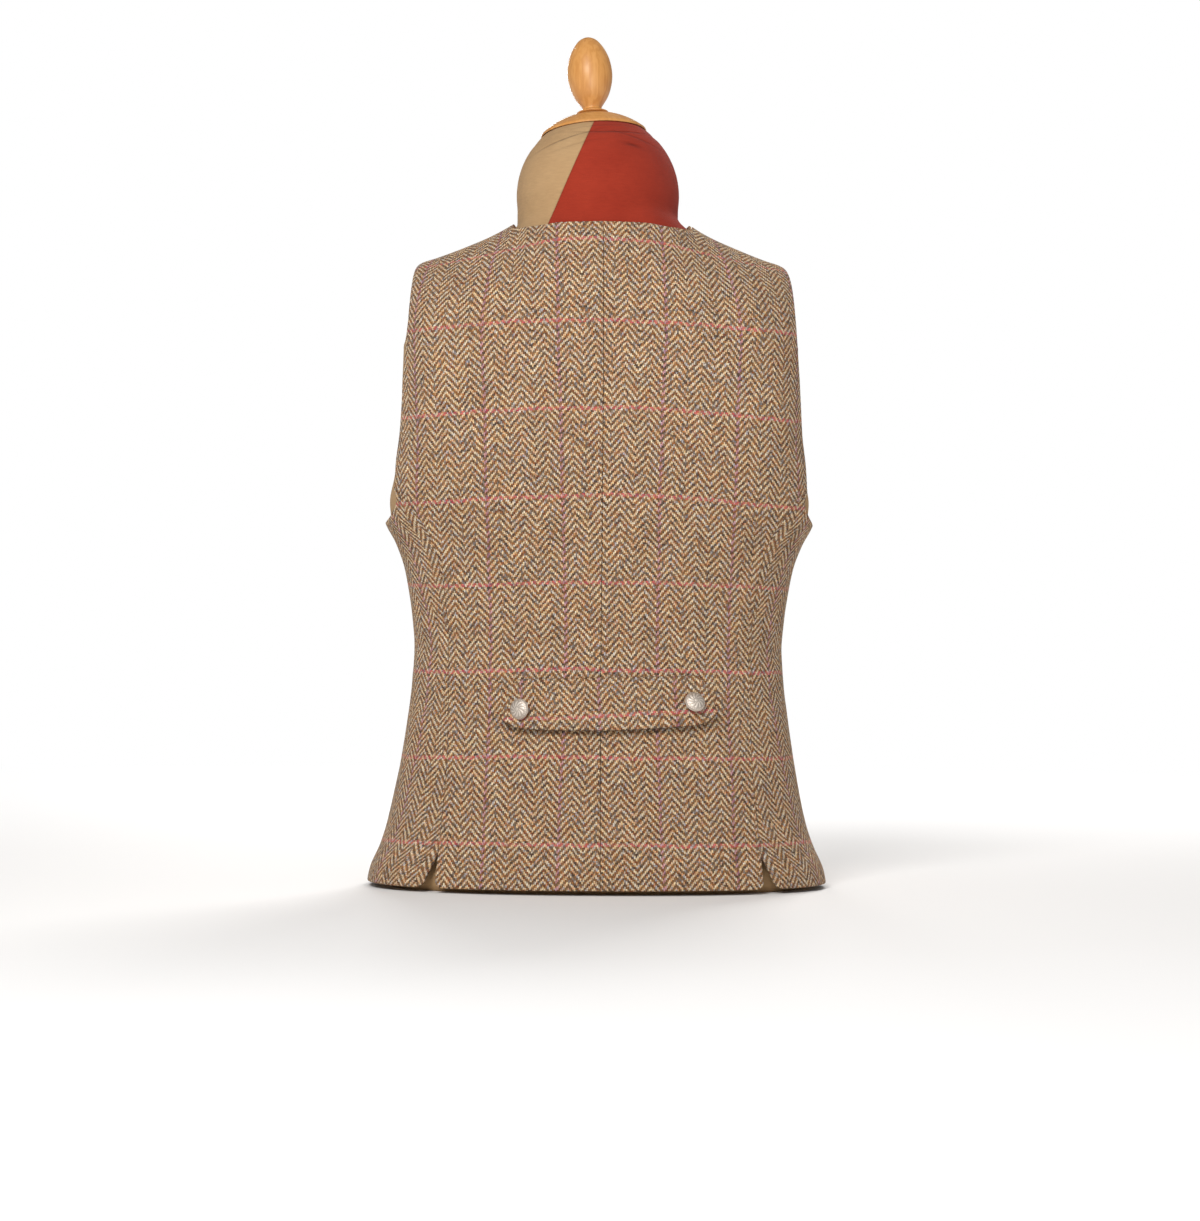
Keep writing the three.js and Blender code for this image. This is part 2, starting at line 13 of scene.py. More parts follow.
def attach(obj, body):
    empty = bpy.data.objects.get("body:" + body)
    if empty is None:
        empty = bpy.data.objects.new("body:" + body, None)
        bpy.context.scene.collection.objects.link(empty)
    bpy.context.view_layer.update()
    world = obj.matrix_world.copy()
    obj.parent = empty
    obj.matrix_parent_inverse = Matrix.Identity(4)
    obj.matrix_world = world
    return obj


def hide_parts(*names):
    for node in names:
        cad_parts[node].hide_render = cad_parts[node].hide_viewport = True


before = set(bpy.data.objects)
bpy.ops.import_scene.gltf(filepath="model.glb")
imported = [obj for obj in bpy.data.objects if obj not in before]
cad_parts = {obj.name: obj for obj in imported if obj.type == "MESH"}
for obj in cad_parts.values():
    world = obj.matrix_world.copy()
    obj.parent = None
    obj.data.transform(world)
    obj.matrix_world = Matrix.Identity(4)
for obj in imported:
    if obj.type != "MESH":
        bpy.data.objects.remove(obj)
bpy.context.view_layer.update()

MM = 0.001
CENTRE_Y = 20.1  # the row's frame lies this far from the garment's side line

# Driving sizes of the cloth, as in the part's source.
CLOTH = 2.2
SEAM_GAP = 0.3
SEAM_SINK = 0.4  # how far the cloth's face sinks at a sewn edge
SEAM_REACH = 2.0  # and how far from that edge it does so
FACING = 13.0  # width of the tweed turned in along the open edges, before the lining
HEM_Z = 4.0
NOTCH_TOP = 30.5
UNDERARM_Z = 289.0
BACK_SEAM_TOP = 317.0
FRONT_SEAM_TOP = 345.0
NECK_POINT_X = 70.0
NECK_BACK_Z = 524.6
OVERLAP_LIFT = 3.2
OVERLAP_FLAT = 28.0
OVERLAP_EASE = 34.0
ROLL_START = 430.0
ROLL_RADIUS = 70.0
RIDGE_Y = 10.0
SHOULDER = ROLL_START + ROLL_RADIUS * math.pi / 2
SEAM_TOP = SHOULDER - SEAM_GAP / 2
LEVEL_ROWS = 436.0
SLIT_CORNER = 6.0
FRONT_CORNER = 24.0
BACK_HEM = 126.0
SIDE_BACK_HEM = 90.0
FRONT_HEM = 117.0

# Level sections: height, half width, depth behind, depth before, squareness.
HALF, BACK, FRONT, SQUARE = 1, 2, 3, 4
SECTIONS = [
    (0, 184.0, 112, 128, 2.3),
    (14, 181.3, 110, 127, 2.3),
    (33, 173.2, 106, 126, 2.25),
    (52, 166.8, 102, 124, 2.2),
    (91, 158.6, 95, 120, 2.2),
    (129, 152.6, 88, 115, 2.2),
    (167, 148.0, 84, 112, 2.2),
    (190, 146.8, 83, 113, 2.2),
    (216, 148.8, 86, 118, 2.25),
    (235, 151.6, 88, 123, 2.3),
    (254, 155.4, 90, 130, 2.35),
    (272, 162.0, 92, 136, 2.4),
    (292, 171.4, 95, 140, 2.6),
    (305, 172.4, 96, 140, 2.8),
    (325, 168.2, 98, 137, 3.1),
    (360, 162.5, 100, 128, 3.4),
    (400, 161.0, 99, 115, 3.6),
    (430, 160.0, 97, 104, 3.6),
    (480, 160.0, 92, 84, 3.6),
    (525, 160.0, 87, 60, 3.6),
]
# The shoulder line: distance from the centre, height.
RIDGE = [(0, 580), (35, 563), (56, 542), (70, 527.6), (87, 517.5), (99, 512), (131, 499.5),
         (142, 496), (149, 491), (155, 476), (160, 442)]
# Panel edges: height, distance from the centre.
BACK_EDGE = [(0, 128.6), (30.5, 125.9), (72, 121.9), (124, 118.9), (173, 118.8), (204, 119.6),
             (236, 122.9), (255, 126.5), (271, 130.8), (291, 142.4), (303, 151.0), (317, 162.5),
             (335, 161.6), (360, 158.6), (400, 156.0), (440, 153.2), (480, 151.0), (510, 148.8),
             (528, 146.2), (540, 141.5)]
SLIT_EDGE = [(0, 139.6), (12, 134.8), (30.5, 125.9)]
FRONT_EDGE = [(0, 101), (90, 90), (188, 80), (250, 86), (290, 97), (322, 121), (345, 138),
              (385, 135), (430, 134), (480, 137.5), (522, 142), (540, 141.5)]
NECK_EDGE = [(0, -16), (296, -16), (330, 5), (380, 30), (430, 50), (485, 64), (540, 70)]
# The gap between cloth and form: height, gap. A fold sinks by at most this share of it.
FORM_GAP = [(0, 17), (4, 12), (14, 9), (60, 7), (190, 6), (300, 3.2), (380, 1.4), (440, 0.9)]
FOLD_SHARE = 0.55

# Steps of each panel's mesh: across, up, and up where its rows fan out over the shoulder. The
# distances from an edge that hold a closer row, so that the edge is round.
COLUMN_PITCH, ROW_PITCH, FAN_PITCH = 2.9, 3.0, 2.6
EDGE_STEPS = np.array([0, 0.12, 0.35, 0.7, 1.15, 1.8, 2.8])

# Where the grain of each back panel lies: height, distance of its first lilac line from the
# centre back seam, which takes in cloth at the waist.
GRAIN_LEFT = [(0, 33.5), (190, 28.0), (524, 39.5)]
GRAIN_RIGHT = [(0, 49.6), (190, 43.5), (524, 50.2)]

# The checked herringbone: yarn widths, and how many yarns make a stripe and a check.
END, PICK = 59.3 / 48, 68.1 / 48
COLUMN_ENDS = 8
CHECK_YARNS = 48
FIRST_ROW = 40.0  # length up the cloth from the foot of the centre back to the first pink row

BELT = {
    "centre_x": -6.2,
    "centre_z": 148.0,
    "tilt": 0.026,
    "half_length": 83.0,
    "half_height": 20.0,
    "top_half_length": 68.0,
    "end_drop": 6.0,
    "foot_half_length": 61.0,
    "sag": 2.0,
    "thickness": 2.4,
    "clear": 0.55,
    "stand_off": 3.4,
    "grain_round": 7.5,
    "grain_up": 10.0,
    "grain_slope": 0.0246,
}
# Folds fade out at a patch behind the belt, so that it lies flat there.
LEVEL_PATCH = {"turn": 1.2, "z": 146.0, "half_width": 86.0, "half_height": 24.0, "fade": 12.0}
BUTTON = {"radius": 8.2, "dome": 3.2, "rim": 1.3, "shank": 2.4, "shank_length": 3.4}
# Belt buttons: name, x, z, lean round, lean up.
BELT_BUTTONS = [("left", 61.2, 142.2, -0.38, 0.06), ("right", -71.2, 148.3, 0.05, -0.38)]
FRONT_BUTTON_TOP, FRONT_BUTTON_STEP = 294.0, 53.0
FRONT_BUTTON_LEANS = [-5, 4, -3, 6, -6]
NECK = {"radius": 65.0, "x": 2.8, "y": -1.0, "z": 551.0, "waist_drop": 10.0, "foot": 470.0}
CAP = {"radius": 42.0, "clear": 0.6, "thickness": 2.6, "rim_thinning": 1.1, "lip": 0.5}
FINIAL = [(12.4, 0), (12.7, 1.1), (9.6, 2.5), (7.6, 4.0), (8.2, 6.0), (10.5, 9.5), (13.0, 13.3),
          (15.6, 19.3), (17.6, 27.3), (18.0, 34.8), (16.9, 43.0), (15.1, 48.8), (12.3, 54.6),
          (7.9, 60.5), (3.4, 63.3)]
FINIAL_HEIGHT = 63.8
CAP_LEAN_FORWARD, CAP_LEAN_SIDE = 0.16, 0.066
NECK_CENTRE = np.array([NECK["x"], NECK["y"], NECK["z"]])
RIM_ANGLE = math.asin(CAP["radius"] / NECK["radius"])

# Soft folds of the cloth: distance round from the centre line (the wearer's left is
# positive), height up the cloth, half length, half width, depth (a trough is negative), and
# angle from level in degrees.
BACK_FOLDS = [
    (112, 262, 74, 12, -1.6, 62),
    (140, 214, 42, 8, -1.5, 28),
    (156, 197, 33, 9, -1.3, 6),
    (168, 172, 26, 9, 0.7, -8),
    (160, 150, 34, 9, -1.2, -20),
    (84, 96, 70, 18, 1.7, 84),
    (138, 62, 58, 13, -1.7, 97),
    (62, 196, 44, 8, -1.5, 4),
    (150, 352, 50, 10, -1.1, 74),
    (66, 402, 66, 15, 0.9, 80),
    (-120, 270, 66, 13, -1.5, 116),
    (-150, 224, 38, 8, -1.2, 160),
    (-156, 191, 34, 9, -1.3, -5),
    (-160, 160, 32, 9, -1.2, 12),
    (-150, 138, 32, 9, 1.0, 14),
    (-96, 88, 62, 20, 1.7, 95),
    (-150, 58, 50, 11, -1.5, 80),
    (-62, 192, 40, 9, -1.4, -3),
    (-152, 340, 42, 9, -1.1, 108),
    (-74, 390, 72, 17, 0.9, 98),
    (222, 262, 40, 9, -1.7, 70),
    (-226, 254, 46, 8, -1.5, 112),
    (228, 90, 60, 14, 1.7, 88),
    (-232, 80, 54, 12, 1.7, 93),
]
FRONT_FOLDS = [
    (38, 292, 34, 5, -1.1, 12),
    (42, 240, 38, 6, -1.3, -6),
    (30, 188, 34, 5, -1.1, 8),
    (36, 132, 40, 6, -0.9, -10),
    (-40, 286, 36, 6, -1.3, -10),
    (-34, 236, 34, 5, -1.1, 5),
    (-42, 180, 38, 6, -1.3, -7),
    (-30, 128, 34, 6, -0.9, 12),
    (92, 214, 58, 11, -1.7, 68),
    (-88, 208, 64, 10, -1.5, 110),
    (128, 352, 52, 9, -1.1, 40),
    (-132, 346, 46, 10, -1.1, 142),
    (122, 176, 48, 7, -1.5, 4),
    (-126, 182, 44, 8, -1.5, -6),
    (112, 66, 60, 16, 1.7, 82),
    (-118, 60, 56, 14, 1.7, 99),
    (58, 62, 52, 13, -1.1, 95),
    (-64, 70, 50, 12, -1.1, 84),
]


def curve(rows, at, column=1):
    """A smooth curve through a table's rows, which never swings past them."""
    table = np.asarray(rows, float)
    x, y = table[:, 0], table[:, column]
    slope = np.diff(y) / np.diff(x)
    product, total = slope[:-1] * slope[1:], slope[:-1] + slope[1:]
    inner = np.where(product > 0, 2 * product / np.where(product > 0, total, 1), 0)
    tangent = np.concatenate([slope[:1], inner, slope[-1:]])
    at = np.clip(np.asarray(at, float), x[0], x[-1])
    i = np.clip(np.searchsorted(x, at, side="right") - 1, 0, len(x) - 2)
    width = x[i + 1] - x[i]
    t = (at - x[i]) / width
    ends = y[i] * (1 + 2 * t) * (1 - t) ** 2 + y[i + 1] * t * t * (3 - 2 * t)
    return ends + width * t * (1 - t) * (tangent[i] * (1 - t) - tangent[i + 1] * t)


def smooth(t):
    t = np.clip(t, 0, 1)
    return t * t * (3 - 2 * t)


def unit(v):
    return v / np.linalg.norm(v, axis=-1, keepdims=True)


def ridge(x, inset=0.0):
    """The height of the shoulder line, for a body that lies inset inside the cloth's face."""
    slope = curve(RIDGE, x + 0.5) - curve(RIDGE, x - 0.5)
    return curve(RIDGE, x) - inset * np.hypot(1, slope)


def skin(turn, height, inset=0.0):
    """Points of the worn shape. Turn runs round the body from the centre back past the wearer's
    left side to the centre front. Height is a level up to the shoulders, and from there a length
    that rolls over them."""
    turn, height, inset = np.broadcast_arrays(np.asarray(turn, float), height, inset)
    level = np.minimum(height, ROLL_START)
    square = curve(SECTIONS, level, SQUARE)
    sine, cosine = np.abs(np.sin(turn)), np.abs(np.cos(turn))
    reach = (sine**square + cosine**square) ** (-1 / square)
    full_half = curve(SECTIONS, level, HALF)
    across, along = reach * sine, reach * cosine
    x = np.sign(np.sin(turn)) * (full_half - inset) * across
    side = np.where(np.cos(turn) < 0, -1.0, 1.0)
    roll = np.maximum(height - ROLL_START, 0) / ROLL_RADIUS
    rolled = height > ROLL_START
    top = ridge(full_half * across, inset)
    z = np.where(rolled, ROLL_START + (top - ROLL_START) * np.sin(roll), height)
    facing = side * np.where(np.cos(roll) < 0, -1.0, 1.0)
    depth = np.where(facing > 0, curve(SECTIONS, z, BACK), curve(SECTIONS, z, FRONT)) - inset
    over = RIDGE_Y + (facing * depth - RIDGE_Y) * np.abs(np.cos(roll))
    return np.stack([x, np.where(rolled, over, side * depth) * along, z], -1)


def turn_at(x, height, front=False):
    """The turn at which a level reaches the distance x from the centre, on the back or front."""
    level = np.minimum(height, ROLL_START)
    square = curve(SECTIONS, level, SQUARE)
    share = np.minimum(np.abs(x) / curve(SECTIONS, level, HALF), 0.9999)
    turn = np.sign(x) * np.arctan2(share, (1 - share**square) ** (1 / square))
    return math.pi - turn if front else turn


def normal(turn, height):
    round_it = skin(turn + 0.01, height) - skin(turn - 0.01, height)
    up = skin(turn, height + 1) - skin(turn, height - 1)
    return unit(np.cross(up, round_it))


def turn_of(length, turn, height):
    """The turn that a length along the cloth makes at this place."""
    apart = skin(turn + 0.01, height) - skin(turn - 0.01, height)
    return length * 0.02 / np.linalg.norm(apart, axis=-1)


# Lengths along the cloth, round from the centre back and up from the foot.
TURNS = np.linspace(0, math.pi, 541)
HEIGHTS = np.arange(0, 546, 3.0)
LATTICE = skin(TURNS[:, None], HEIGHTS[None, :])
ROUND = np.zeros(LATTICE.shape[:2])
ROUND[1:] = np.cumsum(np.linalg.norm(np.diff(LATTICE, axis=0), axis=-1), axis=0)
UP = np.zeros(LATTICE.shape[:2])
UP[:, 1:] = np.cumsum(np.linalg.norm(np.diff(LATTICE, axis=1), axis=-1), axis=1)


def length_at(table, turn, height):
    """A length along the cloth at a turn; past the centre front it goes on by the same lengths."""
    turn = np.abs(turn)
    past = turn > math.pi
    i = np.clip(np.where(past, 2 * math.pi - turn, turn) / TURNS[1], 0, len(TURNS) - 1.001)
    j = np.clip(np.asarray(height, float) / HEIGHTS[1], 0, len(HEIGHTS) - 1.001)
    i0, j0 = i.astype(int), j.astype(int)
    s, t = i - i0, j - j0
    low = table[i0, j0] * (1 - s) + table[i0 + 1, j0] * s
    high = table[i0, j0 + 1] * (1 - s) + table[i0 + 1, j0 + 1] * s
    length = low * (1 - t) + high * t
    if table is UP:
        return length
    half = table[-1, j0] * (1 - t) + table[-1, j0 + 1] * t
    return np.where(past, 2 * half - length, length)


def round_at(turn, height):
    return length_at(ROUND, np.full(np.shape(height), turn), height)


def back_edge(height):
    return turn_at(curve(BACK_EDGE, height), height)


def front_edge(height):
    return turn_at(curve(FRONT_EDGE, height), height, True)


def neck_edge(height):
    return turn_at(curve(NECK_EDGE, height), height, True)


def slit_edge(height):
    x = np.where(height < NOTCH_TOP, curve(SLIT_EDGE, height), curve(BACK_EDGE, height))
    return turn_at(x, height)


def side_edge(height):
    return np.full(np.shape(height), math.pi / 2)


def centre_back(height):
    return np.zeros(np.shape(height))


def corner_lift(distance, radius):
    """How far a rounded corner lifts the hem at this distance from the edge."""
    inside = np.clip(radius - distance, 0, radius)
    return radius - np.sqrt(radius**2 - inside**2)


def folds(rows, across, up):
    """The height of soft folds over the cloth, each a round trough or ridge with low shoulders."""
    relief = np.zeros(np.shape(across))
    for x, z, length, width, depth, angle in rows:
        c, s = math.cos(math.radians(angle)), math.sin(math.radians(angle))
        along = ((across - x) * c + (up - z) * s) / length
        bow = 0.12 * length * along**2
        beside = ((up - z) * c - (across - x) * s - bow) / width
        reach = np.clip(1 - along**2, 0, 1) ** 2
        relief += depth * reach * (1 - 0.7 * beside**2) * np.exp(-(beside**2))
    return relief


def handle(across, up):
    """The slight unevenness of pressed woollen cloth."""
    broad = np.sin(across / 23 + 1.3 * np.sin(up / 47)) * np.sin(up / 31 + 0.7)
    fine = np.sin(across / 8.3 + up / 13 + np.sin(up / 9.1)) * np.sin(up / 11.7 - across / 29)
    return 0.16 * broad + 0.06 * fine


def relief_at(sign, turn, height):
    """How far the cloth's folds stand out, or in with a minus, held off the form and the belt."""
    round_it, up = length_at(ROUND, turn, height), length_at(UP, turn, height)
    to_front = round_at(math.pi, height) - round_it
    relief = folds(BACK_FOLDS, sign * round_it, up) + folds(FRONT_FOLDS, sign * to_front, up)
    relief += handle(sign * round_it, up)
    x = sign * skin(turn, height)[..., 0]
    outside = np.maximum(
        np.abs(x - BELT["centre_x"]) - LEVEL_PATCH["half_width"],
        np.abs(height - LEVEL_PATCH["z"]) - LEVEL_PATCH["half_height"],
    )
    behind = np.abs(turn) < LEVEL_PATCH["turn"]
    relief = np.where(behind, relief * smooth(outside / LEVEL_PATCH["fade"]), relief)
    return np.maximum(relief, -FOLD_SHARE * curve(FORM_GAP, height))


def evenly(length, pitch, near=True, far=True):
    """Shares of a length at an even pitch, with closer ones at its ends to round its edges."""
    close = EDGE_STEPS / length
    start = close if near else close[:1]
    end = 1 - (close if far else close[:1])[::-1]
    count = max(int(round((end[0] - start[-1]) * length / pitch)), 2)
    return np.concatenate([start[:-1], np.linspace(start[-1], end[0], count + 1), end[1:]])


def rolled_edge(distance, radius):
    """How far each face of the cloth has turned in at a distance from its edge: 1 is fully."""
    inside = 1 - np.clip(distance / radius, 0, 1)
    return 1 - np.sqrt(1 - inside**2)


def mesh_object(name, points, faces, materials, kinds=None, cloth=None, values=None):
    """An object from points in the garment's millimetres, with smooth faces, the cloth's flat
    coordinates as a UV map in metres, and named values at its points."""
    mesh = bpy.data.meshes.new(name)
    placed = (np.asarray(points, float) + [0, CENTRE_Y, 0]) * MM
    mesh.from_pydata(placed.tolist(), [], faces if isinstance(faces, list) else faces.tolist())
    for material in materials:
        mesh.materials.append(material)
    mesh.polygons.foreach_set("use_smooth", [True] * len(mesh.polygons))
    if kinds is not None:
        mesh.polygons.foreach_set("material_index", np.asarray(kinds, int))
    if cloth is not None:
        corners = np.zeros(len(mesh.loops), int)
        mesh.loops.foreach_get("vertex_index", corners)
        layer = mesh.uv_layers.new(name="cloth")
        layer.data.foreach_set("uv", (np.asarray(cloth) * MM)[corners].ravel())
    for key, value in (values or {}).items():
        attribute = mesh.attributes.new(key, "FLOAT", "POINT")
        attribute.data.foreach_set("value", np.asarray(value, float))
    mesh.update()
    return linked(name, mesh)


def linked(name, data):
    made = bpy.data.objects.new(name, data)
    bpy.context.scene.collection.objects.link(made)
    return made


def finish_piece(made, slot, *nodes):
    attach(made, "root")
    if nodes:
        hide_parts(*nodes)


def shell(name, outer, inner, cloth, seam, lined, mirrored, materials):
    """A closed cloth wall from two grids of points that share their rim."""
    columns, rows = outer.shape[:2]
    front = np.arange(columns * rows).reshape(columns, rows)
    back = front.copy()
    inner_count = (columns - 2) * (rows - 2)
    back[1:-1, 1:-1] = columns * rows + np.arange(inner_count).reshape(columns - 2, -1)

    def quads(ids):
        corners = [ids[:-1, :-1], ids[:-1, 1:], ids[1:, 1:], ids[1:, :-1]]
        return np.stack(corners, -1).reshape(-1, 4)

    def both(first, second):
        """The values of both faces' points, in the order of the points' numbers."""
        tail = first.shape[2:]
        return np.concatenate([first.reshape(-1, *tail), second[1:-1, 1:-1].reshape(-1, *tail)])

    outside, inside = quads(front), quads(back)[:, ::-1]
    if mirrored:
        outside, inside = outside[:, ::-1], inside[:, ::-1]
    kinds = np.concatenate([np.zeros(len(outside), int), lined[:-1, :-1].reshape(-1).astype(int)])
    faces, points = np.concatenate([outside, inside]), both(outer, inner)
    # The seam values carry painted shade along seams and edges, for the material.
    values = {"seam": both(seam, seam)}
    return mesh_object(name, points, faces, materials, kinds, both(cloth, cloth), values)


def panel(name, sign, materials, row, lift=None):
    """One cloth panel from its row of PANELS, between two edges that give a turn for each height.
    The row's heights give each column's heights for its share across."""
    near, far, width, heights, grain, rims, seam_shades = row
    shares = evenly(width, COLUMN_PITCH)
    height = np.stack([heights(u) for u in shares])
    start = near(height) + turn_of(SEAM_GAP / 2, near(height), height)
    end = far(height) - turn_of(SEAM_GAP / 2, far(height), height)
    turn = start + (end - start) * shares[:, None]
    out = normal(turn, height)
    round_it, up = length_at(ROUND, turn, height), length_at(UP, turn, height)
    distances = [
        round_it - length_at(ROUND, start, height),
        length_at(ROUND, end, height) - round_it,
        up - length_at(UP, turn, height[:, :1] + 0 * height),
        length_at(UP, turn, height[:, -1:] + 0 * height) - up,
    ]
    turned, seam = np.zeros(height.shape), np.zeros(height.shape)
    sink = np.full(height.shape, CLOTH / 2)
    free = np.full(height.shape, np.inf)  # the distance from the nearest edge that isn't sewn
    for distance, rim, weight in zip(distances, rims, seam_shades):
        turned = np.maximum(turned, rolled_edge(distance, rim))
        # A sewn edge gets painted shade along it, as dark as its weight, and its face sinks.
        if weight:
            seam = np.maximum(seam, weight * np.exp(-((distance / (1.1 * rim)) ** 2)))
            sink = np.where(distance < SEAM_REACH, SEAM_SINK, sink)
        else:
            free = np.minimum(free, distance)
    turned[[0, -1]] = 1
    turned[:, [0, -1]] = 1
    raised = relief_at(sign, turn, height) + (0 if lift is None else lift(turn, height))
    face = skin(turn, height)
    outer = face + out * (raised - turned * sink)[..., None]
    inner = face + out * (raised - CLOTH + turned * (CLOTH - sink))[..., None]
    flip = np.array([sign, 1.0, 1.0])
    # The grain strays a little from its straight lines, as pressed cloth's does.
    wave = 0.5 * np.sin(up / 41 + sign * round_it / 90) + 0.25 * np.sin(up / 13.7 + 2.1 * sign)
    sway = 0.55 * np.sin(round_it / 37 + up / 60 + sign) + 0.2 * np.sin(round_it / 11.3 + up / 19)
    cloth = np.stack([grain(sign, round_it, height) + wave, up - FIRST_ROW + sway], -1)
    lined = free > FACING
    return shell(name, outer * flip, inner * flip, cloth, seam, lined, sign < 0, materials)


def tall_heights(bottom, top, length):
    """Rows of a panel that reaches the shoulder: level up to LEVEL_ROWS, then fanned to its top."""
    low = evenly(LEVEL_ROWS, ROW_PITCH, far=False)
    high = evenly(length, FAN_PITCH, near=False)[1:]
    return lambda u: np.concatenate(
        [bottom(u) + (LEVEL_ROWS - bottom(u)) * low, LEVEL_ROWS + (top(u) - LEVEL_ROWS) * high]
    )


def short_heights(bottom, top, length):
    rows = evenly(length, ROW_PITCH)
    return lambda u: bottom(u) + (top(u) - bottom(u)) * rows


def back_top(u):
    """The height at which half the back ends, along its neck edge and then its shoulder."""
    along = min(u / (turn_at(NECK_POINT_X, SEAM_TOP) / back_edge(SEAM_TOP)), 1)
    edge = NECK_BACK_Z + (ridge(NECK_POINT_X) - NECK_BACK_Z) * along**2
    rise = (edge - ROLL_START) / (ridge(NECK_POINT_X * along) - ROLL_START)
    return ROLL_START + ROLL_RADIUS * math.asin(min(rise, 1)) - SEAM_GAP / 2


def hem(far, width, radius):
    """The hem's height for a share across, with its far or near corner rounded off."""
    return lambda u: HEM_Z + corner_lift((1 - u if far else u) * width, radius)


def armhole(seam_top, power, near):
    """The height of the armhole for a share across, from the princess seam down to the side."""
    rise = seam_top - UNDERARM_Z
    return lambda u: UNDERARM_Z + rise * (1 - u if near else u) ** power


# Where each panel's grain lies: the distance from its lilac line of reference.
def back_grain(sign, round_it, height):
    return sign * (curve(GRAIN_LEFT if sign > 0 else GRAIN_RIGHT, height) - round_it)


def side_back_grain(sign, round_it, height):
    return sign * (round_at(math.pi / 2, height) - round_it - 42.5)


def side_front_grain(sign, round_it, height):
    return sign * (30 - round_it + round_at(math.pi / 2, height))


def front_grain(sign, round_it, height):
    return sign * (round_at(math.pi, height) - round_it - 22)


def front_lift(turn, height):
    """How far the front that laps over lies off the other, eased down to its own side."""
    x = skin(turn, height)[..., 0]
    return OVERLAP_LIFT * smooth((OVERLAP_FLAT + OVERLAP_EASE - x) / OVERLAP_EASE)


# Each panel: near and far edge, width, heights and grain. Then, for its near, far, bottom and top
# edges, the widths over which they round off, and how much painted shade lies along each seam.
PANELS = {
    "back": (
        centre_back, back_edge, 134, tall_heights(hem(True, BACK_HEM, SLIT_CORNER), back_top, 100),
        back_grain, (0.45, 0.5, 1.4, 0.8), (0.03, 0.1, 0, 0.2),
    ),
    "side_back": (
        slit_edge, side_edge, 86,
        short_heights(
            hem(False, SIDE_BACK_HEM, SLIT_CORNER), armhole(BACK_SEAM_TOP, 3, near=True), 290
        ),
        side_back_grain, (0.5, 0.6, 1.4, 1.4), (0.16, 0.3, 0, 0),
    ),
    "side_front": (
        side_edge, front_edge, 130,
        short_heights(lambda u: HEM_Z, armhole(FRONT_SEAM_TOP, 2.2, near=False), 300),
        side_front_grain, (0.6, 0.5, 1.4, 1.4), (0.3, 0.16, 0, 0),
    ),
    "front": (
        front_edge, neck_edge, 112,
        tall_heights(hem(True, FRONT_HEM, FRONT_CORNER), lambda u: SEAM_TOP, 104),
        front_grain, (0.5, 1.4, 1.4, 0.8), (0.16, 0, 0, 0.3),
    ),
}


def place_on(x, z, front=False):
    """Points on the outer face of the back or front at x and z, and the way out there."""
    turn = turn_at(x, z, front)
    return skin(turn, z), normal(turn, z)


def belt_panel(materials):
    """The half belt: a doubled strip with sloping ends, round lower corners and a loose foot."""
    b = BELT
    high, drop = b["half_height"], b["end_drop"]
    share = evenly(2 * b["half_length"], 1.9) * 2 - 1
    a = share[:, None] * b["half_length"] * 0.998
    distance = np.abs(a)
    slope = (distance - b["top_half_length"]) / (b["half_length"] - b["top_half_length"])
    top = high - np.maximum(slope, 0) ** 1.7 * (high + drop)
    foot = (distance - b["foot_half_length"]) / (b["half_length"] - b["foot_half_length"])
    corner = 1 - np.sqrt(1 - np.clip(foot, 0, 1) ** 2)
    sag = b["sag"] * np.maximum(1 - (a / b["foot_half_length"]) ** 2, 0)
    bottom = -high - sag + corner * (high - drop)
    v = evenly(2 * high, 1.7)[None, :]
    up = bottom + (top - bottom) * v
    x = b["centre_x"] + a * math.cos(b["tilt"]) + up * math.sin(b["tilt"])
    z = b["centre_z"] - a * math.sin(b["tilt"]) + up * math.cos(b["tilt"])
    point, out = place_on(x, z)
    corners = 0.5 * smooth((a - 40) / 35) + 0.45 * smooth((-a - 45) / 30)
    clear = b["clear"] + b["stand_off"] * (1 - v) ** 2 * (1 + corners)
    below_top, above_foot = top - up, up - bottom
    ends = b["half_length"] - distance + 0 * v
    turned = np.maximum(rolled_edge(below_top, 1.3), rolled_edge(above_foot, 1.3))
    turned = np.maximum(turned, rolled_edge(ends * 0.8, 1.0))
    turned[[0, -1]] = 1
    turned[:, [0, -1]] = 1
    puff = 0.35 * smooth(np.minimum(np.minimum(below_top, above_foot), ends) / 7)
    puff = puff * (1 + 0.25 * np.sin(a / 11))
    for _, bx, bz, _, _ in BELT_BUTTONS:  # each button's shank draws the belt in
        puff -= 0.75 * np.exp(-((x - bx) ** 2 + (z - bz) ** 2) / 90)
    thickness = b["thickness"]
    outer = point + out * (clear + thickness + puff - turned * thickness / 2)[..., None]
    inner = point + out * (clear + turned * thickness / 2)[..., None]
    round_it = b["grain_round"] - a + 0.3 * np.sin(up / 9)
    along = up + b["grain_up"] + b["grain_slope"] * a + 0.4 * np.sin(a / 17)
    cloth = np.stack([round_it, along], -1)
    # Painted shade along the belt's top edge and ends, and a painted shadow along its lower edge,
    # given to the material as its seam values.
    edge = 0.3 * np.exp(-((np.minimum(below_top, ends * 0.8) / 1.3) ** 2))
    edge = np.maximum(edge, 0.75 * np.exp(-((above_foot / 0.9) ** 2)))
    grids = [grid[::-1] for grid in (outer, inner, cloth, edge)]
    return shell("cloth_back_belt", *grids, np.zeros(turned.shape), True, materials)


def spline(points, count):
    """A smooth line through a profile's points, with count steps between each two."""
    p = np.asarray(points, float)
    p = np.concatenate([2 * p[:1] - p[1:2], p, 2 * p[-1:] - p[-2:-1]])
    line = []
    for i in range(1, len(p) - 2):
        ahead = p[i + 1] - p[i - 1]
        bend = 2 * p[i - 1] - 5 * p[i] + 4 * p[i + 1] - p[i + 2]
        twist = 3 * p[i] - p[i - 1] - 3 * p[i + 1] + p[i + 2]
        for t in np.arange(count) / count:
            line.append(0.5 * (2 * p[i] + ahead * t + bend * t**2 + twist * t**3))
    return np.array(line + [p[-2]])


